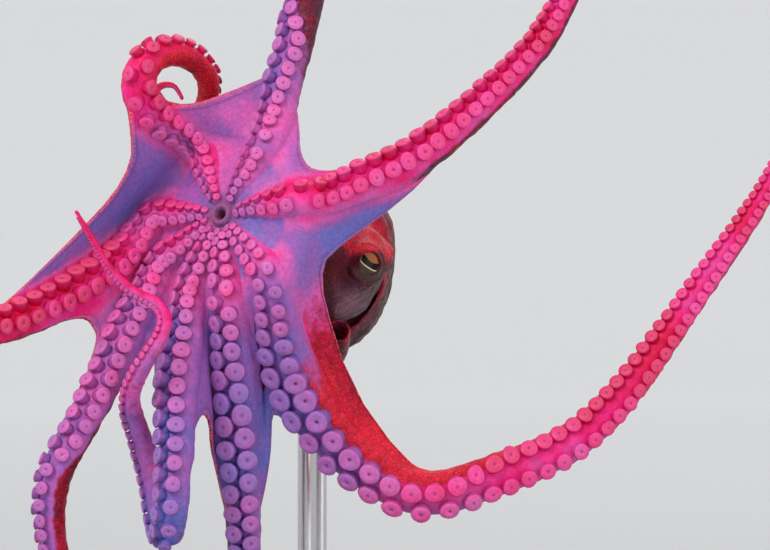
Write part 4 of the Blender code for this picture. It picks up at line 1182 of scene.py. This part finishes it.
class Graph:
    """A node tree written as calls: each makes one node or a few and gives an output."""

    def __init__(self, tree):
        self.tree = tree

    def node(self, kind, links=None, output=0, **settings):
        made = self.tree.nodes.new(kind)
        for key, value in settings.items():
            setattr(made, key, value)
        fill(made.inputs, links or {})
        return made.outputs[output]

    def math(self, how, *values):
        return self.node("ShaderNodeMath", dict(enumerate(values)), operation=how)

    def times(self, first, *others):
        for value in others:
            first = self.math("MULTIPLY", first, value)
        return first

    def plus(self, first, *others):
        for value in others:
            first = self.math("ADD", first, value)
        return first

    def scaled(self, value, by, shift):
        return self.math("MULTIPLY_ADD", value, by, shift)

    def vector(self, how, links, output=0):
        return self.node("ShaderNodeVectorMath", links, output, operation=how)

    def parts(self, vector):
        return self.node("ShaderNodeSeparateXYZ", {0: vector}).node.outputs

    def reach(self, x, y):
        """How far (x, y) lies from the middle."""
        return self.math("SQRT", self.plus(self.times(x, x), self.times(y, y)))

    def between(self, value, low, high, to_low=0.0, to_high=1.0):
        """The value's smooth step from low to high."""
        return self.node("ShaderNodeMapRange", {"Value": value, "From Min": low, "From Max": high,
                                                "To Min": to_low, "To Max": to_high},
                         interpolation_type="SMOOTHSTEP")

    def mix(self, share, a, b, how="MIX"):
        a, b = (c if isinstance(c, bpy.types.NodeSocket) else (*c, 1) for c in (a, b))
        return self.node("ShaderNodeMix", {0: share, 6: a, 7: b}, 2, data_type="RGBA", blend_type=how)

    def over(self, colour, *layers):
        """Lays tones over a colour, each a (share, strength, tone)."""
        for share, strength, tone in layers:
            colour = self.mix(self.times(share, strength), colour, tone)
        return colour

    def ramp(self, value, stops):
        """The colour at a place on a scale of tones."""
        colour = self.node("ShaderNodeValToRGB", {0: value})
        tones = colour.node.color_ramp.elements
        while len(tones) < len(stops):
            tones.new(0.5)
        for tone, (at, shade) in zip(tones, stops):
            tone.position, tone.color = at, (*shade, 1)
        return colour

    def place(self):
        return self.node("ShaderNodeTexCoord", output="Object")

    def mark(self, name, output="Fac"):
        return self.node("ShaderNodeAttribute", output=output, attribute_name=name)

    def stretched(self, place, scale):
        return self.node("ShaderNodeMapping", {"Vector": place, "Scale": scale})

    def noise(self, place, scale, detail=3.0, rough=0.5, output=0):
        return self.node("ShaderNodeTexNoise", {"Vector": place, "Scale": scale, "Detail": detail,
                                                "Roughness": rough}, output)

    def cells(self, place, scale, output="Distance", feature="F1"):
        return self.node("ShaderNodeTexVoronoi", {"Vector": place, "Scale": scale}, output, feature=feature)

    def cell_tone(self, place, scale, channel):
        """A random number for each cell."""
        return self.node("ShaderNodeSeparateColor", {0: self.cells(place, scale, "Color")}, channel)

    def bump(self, height, strength, distance, normal=None):
        links = {"Height": height, "Strength": strength, "Distance": distance}
        if normal is not None:
            links["Normal"] = normal
        return self.node("ShaderNodeBump", links)

    def use(self, group, **links):
        """A group's outputs."""
        made = self.tree.nodes.new("ShaderNodeGroup")
        made.node_tree = group
        fill(made.inputs, links)
        return made.outputs


def shader_group(name, inputs, outputs, build):
    """A node group with a place and named numbers going in; build(graph, sockets) gives its outputs."""
    tree = bpy.data.node_groups.new(name, "ShaderNodeTree")
    tree.interface.new_socket(name="Place", in_out="INPUT", socket_type="NodeSocketVector")
    for key, value in inputs.items():
        socket = tree.interface.new_socket(name=key, in_out="INPUT", socket_type="NodeSocketFloat")
        socket.default_value = value
    for key, kind in outputs.items():
        tree.interface.new_socket(name=key, in_out="OUTPUT", socket_type="NodeSocket" + kind)
    entry, leave = tree.nodes.new("NodeGroupInput"), tree.nodes.new("NodeGroupOutput")
    fill(leave.inputs, build(Graph(tree), entry.outputs))
    return tree


def network_group():
    """Skin's fine network: dark grooves between small rounded islands, warped so that no two are alike."""
    def build(g, sockets):
        place, size = sockets["Place"], sockets["Size"]
        scale = g.math("DIVIDE", 1.0, size)
        warp = g.noise(place, g.times(scale, 0.45), 2.0, output="Color")
        shift = g.vector("SUBTRACT", {0: warp, 1: (0.5, 0.5, 0.5)})
        bent = g.vector("SCALE", {0: shift, "Scale": g.times(size, 2.2)})
        moved = g.vector("ADD", {0: place, 1: bent})
        edge = g.cells(moved, scale, feature="DISTANCE_TO_EDGE")
        return {"Groove": g.between(edge, sockets["Width"], 0.0), "Rise": g.between(edge, 0.0, 0.32),
                "Tone": g.cell_tone(moved, scale, "Red")}
    return shader_group("skin_network", {"Size": 0.002, "Width": 0.12},
                        {"Groove": "Float", "Rise": "Float", "Tone": "Float"}, build)


def mottle_group():
    """Cloudy unevenness at a size and at a fifth of it."""
    def build(g, sockets):
        place, scale = sockets["Place"], g.math("DIVIDE", 1.0, sockets["Size"])
        cloud = g.noise(place, scale, 3.0, 0.55)
        fine = g.noise(place, g.times(scale, 5.0), 4.0, 0.6)
        return {"Cloud": g.between(cloud, 0.32, 0.68), "Fine": g.between(fine, 0.3, 0.7)}
    return shader_group("mottle", {"Size": 0.03}, {"Cloud": "Float", "Fine": "Float"}, build)


def speckle_group():
    """Tiny round colour cells: a dot in each cell, of its own size, some missing."""
    def build(g, sockets):
        place, scale = sockets["Place"], g.math("DIVIDE", 1.0, sockets["Size"])
        tone = g.cell_tone(place, scale, "Green")
        dot = g.times(g.math("SUBTRACT", sockets["Amount"], tone), 0.75)
        return {"Dots": g.between(g.math("SUBTRACT", dot, g.cells(place, scale)), -0.06, 0.10)}
    return shader_group("speckle", {"Size": 0.001, "Amount": 0.6}, {"Dots": "Float"}, build)


# Tones of the pale and of the coloured skin: (place on the scale, colour)
ROSE_TONES = ((0.0, (0.16, 0.16, 0.56)), (0.3, (0.35, 0.12, 0.46)), (0.55, (0.72, 0.12, 0.45)),
              (0.78, (0.92, 0.02, 0.25)), (1.0, (0.74, 0.004, 0.070)))
EMBER_TONES = ((0.0, (0.055, 0.004, 0.012)), (0.3, (0.19, 0.003, 0.020)), (0.6, (0.58, 0.002, 0.032)),
               (1.0, (0.94, 0.020, 0.052)))
DARK = (0.030, 0.004, 0.008)
MAUVE = (0.12, 0.045, 0.105)
# the colour of the painted highlight beside each eye
CHEEK_HIGHLIGHT_TONE = (0.28, 0.125, 0.20)
LID_TONE = (0.10, 0.062, 0.050)
LIP_TONE = (0.24, 0.085, 0.16)
VEIN_TONE = (0.22, 0.05, 0.20)
SPOT_TONE = (0.64, 0.06, 0.12)
DOT_TONE = (0.45, 0.04, 0.06)
BEAD_TONE = (0.95, 0.14, 0.14)
# Sucker tones: a paler top, partly its own colour and partly painted light; painted shadow on the wall;
# painted shade in the groove inside the rim and in the hole.
SUCKER_TOP_PALE_AND_LIT, SUCKER_WALL_SHADOW = (1.0, 0.38, 0.72), (0.26, 0.03, 0.16)
SUCKER_RING_SHADE, SUCKER_HOLE_SHADE = (0.45, 0.04, 0.20), (0.24, 0.03, 0.13)


def flesh_group(mottle):
    """The pale flesh of the suckers' face, from blue over lilac and pink to coral by its rosiness, which
    holds painted pink light where the flesh faces up.
    """
    def build(g, sockets):
        place = sockets["Place"]
        wide, small = g.use(mottle, Place=place, Size=0.040), g.use(mottle, Place=place, Size=0.011)
        uneven = g.plus(g.scaled(wide["Cloud"], 0.16, -0.08), g.scaled(small["Cloud"], 0.10, -0.05))
        tone = g.ramp(g.plus(sockets["Rose"], uneven), ROSE_TONES)
        faint = g.between(small["Fine"], 0.0, 1.0, 0.88, 1.08)
        grey = g.node("ShaderNodeCombineColor", {0: faint, 1: faint, 2: faint})
        return {"Color": g.mix(1.0, tone, grey, "MULTIPLY"), "Fine": small["Fine"]}
    return shader_group("pale_flesh", {"Rose": 0.3}, {"Color": "Color", "Fine": "Float"}, build)


def finish_material(name, build):
    """A material whose build(graph) gives the Principled shader's sockets."""
    made = bpy.data.materials.new(name)
    made.use_nodes = True
    fill(made.node_tree.nodes["Principled BSDF"].inputs, build(Graph(made.node_tree)))
    return made


def skin_material(mottle, flesh):
    network, speckle = network_group(), speckle_group()

    def build(g):
        place = g.place()
        face, web, body, lip, rim = (g.mark(k) for k in ("face", "web", "body", "lip", "rim"))
        wide = g.use(mottle, Place=place, Size=0.030)
        net = g.use(network, Place=place, Size=0.0019, Width=0.14)
        coarse = g.use(network, Place=place, Size=0.0080, Width=0.10)
        # The pale side, with a faint network on the webs.
        # The rosiness holds painted pink light where the skin faces up.
        pale = g.use(flesh, Place=place, Rose=g.mark("rose_with_painted_light"))["Color"]
        veins = g.times(web, net["Groove"], g.between(rim, 0.0, 0.8, 0.14, 0.5))
        pale = g.mix(veins, pale, VEIN_TONE)
        # The coloured side: islands of its tone between dark grooves, with a few pale spots.
        # Its tone holds painted light, brighter facing up and above the eyes, so the mauve of its low tones
        # falls more on the sides facing down.
        tone = g.plus(g.scaled(wide["Cloud"], 0.24, -0.12), g.mark("ember_with_painted_light"))
        ground = g.ramp(g.plus(tone, g.scaled(net["Tone"], 0.24, -0.12)), EMBER_TONES)
        dull = g.times(g.between(tone, 0.45, 0.05), g.between(body, 0.0, 0.6, 0.7, 0.0))
        spots = g.use(speckle, Place=place, Size=0.0046, Amount=0.45)
        ground = g.over(ground, (dull, 1.0, MAUVE), (net["Groove"], 0.50, DARK),
                        (coarse["Groove"], 0.22, DARK), (spots["Dots"], 0.22, SPOT_TONE),
                        (g.mark("cheek_highlight"), 0.9, CHEEK_HIGHLIGHT_TONE), (g.mark("lid"), 0.8, LID_TONE))
        # Where they meet, the colour breaks up.
        border = g.plus(face, g.times(g.math("SUBTRACT", wide["Fine"], 0.5), 0.4))
        pale_share = g.between(border, 0.15, 0.85)
        dots = g.use(speckle, Place=place, Size=0.0015, Amount=g.between(border, 1.25, 0.35))
        colour = g.mix(pale_share, ground, pale)
        # A web's margin is a row of bright beads with a dark groove inside it.
        bead = g.times(g.between(rim, 0.76, 0.86), g.between(face, 1.1, 0.6, 0.25, 0.9))
        groove = g.times(g.between(rim, 0.56, 0.66), g.between(rim, 0.80, 0.72))
        colour = g.over(colour, (g.times(pale_share, 0.45), dots["Dots"], DOT_TONE),
                        (groove, g.between(face, 1.1, 0.6, 0.20, 0.75), DARK),
                        (bead, g.between(net["Rise"], 0.1, 0.6), BEAD_TONE), (lip, 0.8, LIP_TONE))
        skin_side = g.math("SUBTRACT", 1.0, pale_share)
        rise = g.times(net["Rise"], g.math("MAXIMUM", skin_side, g.plus(0.18, g.times(bead, 0.8))))
        height = g.plus(rise, g.times(skin_side, 1.1, coarse["Rise"]))
        normal = g.bump(height, 0.6, 0.0006)
        normal = g.bump(g.noise(place, 1 / 0.0009, 2.0), 0.25, 0.0002, normal)
        return {"Base Color": colour, "Roughness": g.between(wide["Fine"], 0.0, 1.0, 0.38, 0.56),
                "Normal": normal, "Subsurface Weight": 0.15, "Subsurface Radius": (1.0, 0.35, 0.30),
                "Subsurface Scale": 0.003, "Coat Weight": 0.06, "Coat Roughness": 0.25,
                "Specular IOR Level": 0.17}
    return finish_material("octopus_skin", build)


def sucker_material(flesh):
    def build(g):
        place = g.place()
        x, y, part = g.parts(g.mark("cup", "Vector"))
        reach = g.reach(x, y)
        # Painted light and shade on each cup: rosier and paler towards the top, partly its own colour and
        # partly painted light; a painted shadow on the wall; painted shade in the groove inside the rim and
        # in the hole.
        own, higher = g.scaled(g.mark("tone"), 0.10, -0.03), g.between(part, 0.15, 0.55, -0.04, 0.06)
        base = g.use(flesh, Place=place, Rose=g.plus(g.mark("rose_with_painted_light"), g.plus(own, higher)))
        top = g.between(part, 0.52, 0.64)
        wall = g.times(g.between(part, 0.20, 0.42), g.between(part, 0.60, 0.50))
        ring = g.times(g.between(reach, 0.50, 0.60), g.between(reach, 0.74, 0.64), top)
        hole = g.times(g.between(reach, 0.26, 0.08), top)
        colour = g.over(base["Color"], (top, 0.13, SUCKER_TOP_PALE_AND_LIT), (wall, 0.50, SUCKER_WALL_SHADOW),
                        (ring, 0.14, SUCKER_RING_SHADE), (hole, 0.60, SUCKER_HOLE_SHADE))
        spoke = g.math("SINE", g.times(g.math("ARCTAN2", y, x), 14.0))
        normal = g.bump(g.times(spoke, top, g.between(reach, 0.2, 0.5)), 0.15, 0.0002)
        normal = g.bump(g.noise(place, 1 / 0.0008, 2.0), 0.2, 0.00015, normal)
        return {"Base Color": colour, "Roughness": g.between(base["Fine"], 0.0, 1.0, 0.30, 0.46),
                "Normal": normal, "Subsurface Weight": 0.18, "Subsurface Radius": (1.0, 0.35, 0.35),
                "Subsurface Scale": 0.003, "Coat Weight": 0.07, "Coat Roughness": 0.20,
                "Specular IOR Level": 0.22}
    return finish_material("sucker_flesh", build)


def eye_material(mottle):
    """The slit is a bowed bar along x, with a bright line round its lower side; places are in eye radii."""
    def build(g):
        where = g.mark("eye_place", "Vector")
        x, y, _ = g.parts(where)
        off = g.math("SUBTRACT", y, g.math("SUBTRACT", g.times(x, x, 0.85), 0.13))
        along = g.math("ABSOLUTE", x)
        over = g.math("SUBTRACT", g.math("ABSOLUTE", off), g.between(along, 0.0, 0.44, 0.12, 0.17))
        away = g.math("MAXIMUM", over, g.math("SUBTRACT", along, 0.44))
        line = g.times(g.between(away, 0.0, 0.014), g.between(away, 0.075, 0.050), g.between(off, 0.12, 0.02))
        fibres = g.noise(g.vector("MULTIPLY", {0: where, 1: (9.0, 22.0, 3.0)}), 1.0)
        cloud = g.use(mottle, Place=where, Size=0.30)
        upper = g.mix(fibres, (0.30, 0.09, 0.03), (0.55, 0.20, 0.06))
        lower = g.mix(fibres, (0.040, 0.030, 0.022), (0.12, 0.09, 0.06))
        colour = g.mix(g.between(off, -0.04, 0.06), lower, upper)
        colour = g.over(colour, (g.between(g.reach(x, y), 0.52, 0.66), 1.0, (0.045, 0.028, 0.024)),
                        (line, 0.95, (0.90, 0.68, 0.36)), (cloud["Cloud"], 0.15, (0.05, 0.03, 0.02)),
                        (g.between(away, 0.012, -0.004), 1.0, (0.004, 0.003, 0.004)))
        height = g.plus(g.times(fibres, 0.25), g.between(away, 0.0, 0.05))
        return {"Base Color": colour, "Roughness": g.between(cloud["Fine"], 0.0, 1.0, 0.16, 0.26),
                "Normal": g.bump(height, 0.35, 0.0004), "Coat Weight": 0.10, "Coat Roughness": 0.05,
                "Specular IOR Level": 0.12}
    return finish_material("eye_globe", build)


def beak_material(mottle):
    def build(g):
        cloud = g.use(mottle, Place=g.place(), Size=0.003)
        colour = g.mix(cloud["Cloud"], (0.018, 0.010, 0.008), (0.075, 0.035, 0.020))
        return {"Base Color": colour, "Roughness": g.between(cloud["Fine"], 0.0, 1.0, 0.22, 0.4),
                "Normal": g.bump(cloud["Fine"], 0.3, 0.0001), "Coat Weight": 0.3}
    return finish_material("beak_horn", build)


def wood_material(mottle):
    def build(g):
        place = g.place()
        grain = g.noise(g.stretched(place, (1.0, 14.0, 6.0)), 1 / 0.035, 6.0, 0.62)
        pores = g.noise(g.stretched(place, (1.0, 26.0, 12.0)), 1 / 0.008, 3.0, 0.7)
        pores = g.between(pores, 0.56, 0.70)
        cloud = g.use(mottle, Place=place, Size=0.12)
        colour = g.mix(g.between(grain, 0.35, 0.65), (0.012, 0.010, 0.010), (0.048, 0.036, 0.031))
        colour = g.mix(g.times(pores, 0.7), colour, (0.005, 0.004, 0.004))
        rough = g.plus(g.between(cloud["Cloud"], 0.0, 1.0, 0.26, 0.36), g.times(pores, 0.18))
        height = g.math("SUBTRACT", g.times(grain, 0.4), pores)
        return {"Base Color": colour, "Roughness": rough, "Normal": g.bump(height, 0.25, 0.0002),
                "Coat Weight": 0.35, "Coat Roughness": 0.2}
    return finish_material("stand_lacquer", build)


def steel_material(mottle):
    def build(g):
        place = g.place()
        lines = g.noise(g.stretched(place, (1.0, 1.0, 0.02)), 1 / 0.00045, 4.0, 0.7)
        cloud = g.use(mottle, Place=place, Size=0.02)
        rough = g.plus(g.between(lines, 0.3, 0.7, 0.22, 0.34), g.times(cloud["Cloud"], 0.05))
        return {"Base Color": g.mix(lines, (0.50, 0.50, 0.52), (0.66, 0.66, 0.67)), "Roughness": rough,
                "Metallic": 1.0, "Normal": g.bump(lines, 0.15, 0.00005)}
    return finish_material("stand_brushed_steel", build)


def floor_material():
    def build(g):
        place = g.place()
        cloud = g.noise(place, 1 / 0.6)
        # The floor is painted darker near the middle, painted shade that evens out the lamps' brighter light
        # there, and paler far out.
        far = g.between(g.vector("LENGTH", {0: place}, "Value"), 0.4, 4.0)
        near_tone_with_painted_shade = g.mix(cloud, (0.60, 0.60, 0.605), (0.63, 0.625, 0.62))
        grain = g.noise(place, 1 / 0.004, 2.0)
        return {"Base Color": g.mix(far, near_tone_with_painted_shade, (0.93, 0.93, 0.93)),
                "Roughness": g.between(cloud, 0.3, 0.7, 0.65, 0.8), "Normal": g.bump(grain, 0.05, 0.0002)}
    return finish_material("studio_floor", build)


# --- studio ---
def make_floor(material):
    """A wide dish: flat, then a quarter round up to a low wall far out."""
    bend = np.radians(np.arange(10, 91, 10))
    radii = [0.0, 0.4, 1.0, 2.0, 3.0, 4.5] + [4.5 + 3 * math.sin(a) for a in bend] + [7.5]
    heights = [0.0] * 6 + [3 - 3 * math.cos(a) for a in bend] + [4.5]
    rings = turned_rings(list(zip(radii, heights)), (0, 0), 96)
    floor = mesh_object("studio_floor", rings.reshape(-1, 3), grid_faces(closed(ring_numbers(rings))))
    floor.data.materials.append(material)


def area_light(name, at, aim, size, power):
    light = bpy.data.lights.new(name, "AREA")
    light.shape, light.size, light.energy = "DISK", size, power
    lamp = linked(bpy.data.objects.new(name, light))
    lamp.location = at
    lamp.rotation_euler = (Vector(aim) - Vector(at)).to_track_quat("-Z", "Y").to_euler()


def make_studio(mouth):
    """Three soft lamps and an even, pale sky."""
    aim = tuple(mouth)
    area_light("key", (-0.9, -1.5, 1.6), aim, 1.0, 20)
    area_light("fill", (1.7, -1.3, 0.7), aim, 1.6, 7)
    area_light("back", (0.5, 1.6, 1.9), aim, 1.3, 7)
    world = bpy.data.worlds.new("studio")
    world.use_nodes = True
    fill(world.node_tree.nodes["Background"].inputs, {0: (0.80, 0.81, 0.83, 1), 1: 0.95})
    bpy.context.scene.world = world
    bpy.context.scene.view_settings.view_transform = "Standard"


def make_camera(mouth):
    """A level long lens straight along +Y."""
    lens = bpy.data.cameras.new("camera")
    lens.sensor_width = 36
    lens.lens = 106.36
    camera = linked(bpy.data.objects.new("camera", lens))
    camera.location = Vector(mouth) + Vector((0.0897, -1.300, -0.0326))
    camera.rotation_euler = (math.radians(90), 0, 0)
    bpy.context.scene.camera = camera


# --- the model ---
def find_mouth():
    """The mouth's place: the spine's shape, moved so that its eyes lie where the frame's do."""
    spine = Spine(np.zeros(3))
    point, _, up, _ = spine.frame(EYE_AT)
    between_eyes = point + EYE_PLACE[2] * MM * math.sin(math.radians(EYE_PLACE[1])) * up
    return sum(np.array(eye_centre(side)) for side in ("left", "right")) / 2 - between_eyes


def eye_centre(side):
    low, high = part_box(f"eye_{side}")
    return np.array((low + high) / 2)


FLESH = ("arm", "web", "crown", "mouth", "head", "mantle", "funnel")  # how the flesh nodes' names start


def main():
    mouth = find_mouth()
    eyes = [eye_centre("left"), eye_centre("right")]
    arms = [Arm(name, mouth) for name in ARMS]
    for before, arm, after in zip(arms[-1:] + arms, arms, arms[1:] + arms[:1]):
        arm.face_neighbours(before, after)
    spine = Spine(mouth)
    mottle = mottle_group()
    flesh = flesh_group(mottle)
    flesh_nodes = [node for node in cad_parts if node.split("_")[0] in FLESH]
    skin = make_skin(arms, spine, eyes)
    skin.data.materials.append(skin_material(mottle, flesh))
    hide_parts(*flesh_nodes)
    sucker_finish = sucker_material(flesh)
    for arm in arms:
        suckers = make_suckers(arm)
        suckers.data.materials.append(sucker_finish)
    eye_finish = eye_material(mottle)
    for side, centre in zip(("left", "right"), eyes):
        eye = make_eye(spine, side, centre)
        eye.data.materials.append(eye_finish)
        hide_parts(f"eye_{side}")
    beak = make_beak(mouth)
    beak.data.materials.append(beak_material(mottle))
    steel = steel_material(mottle)
    for node in ("stand_rod_mantle", "stand_rod_head"):
        rod = make_rod(node)
        rod.data.materials.append(steel)
        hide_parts(node)
    base = make_base()
    base.data.materials.append(wood_material(mottle))
    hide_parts("stand_base")
    make_floor(floor_material())
    make_studio(mouth)
    make_camera(mouth)


main()
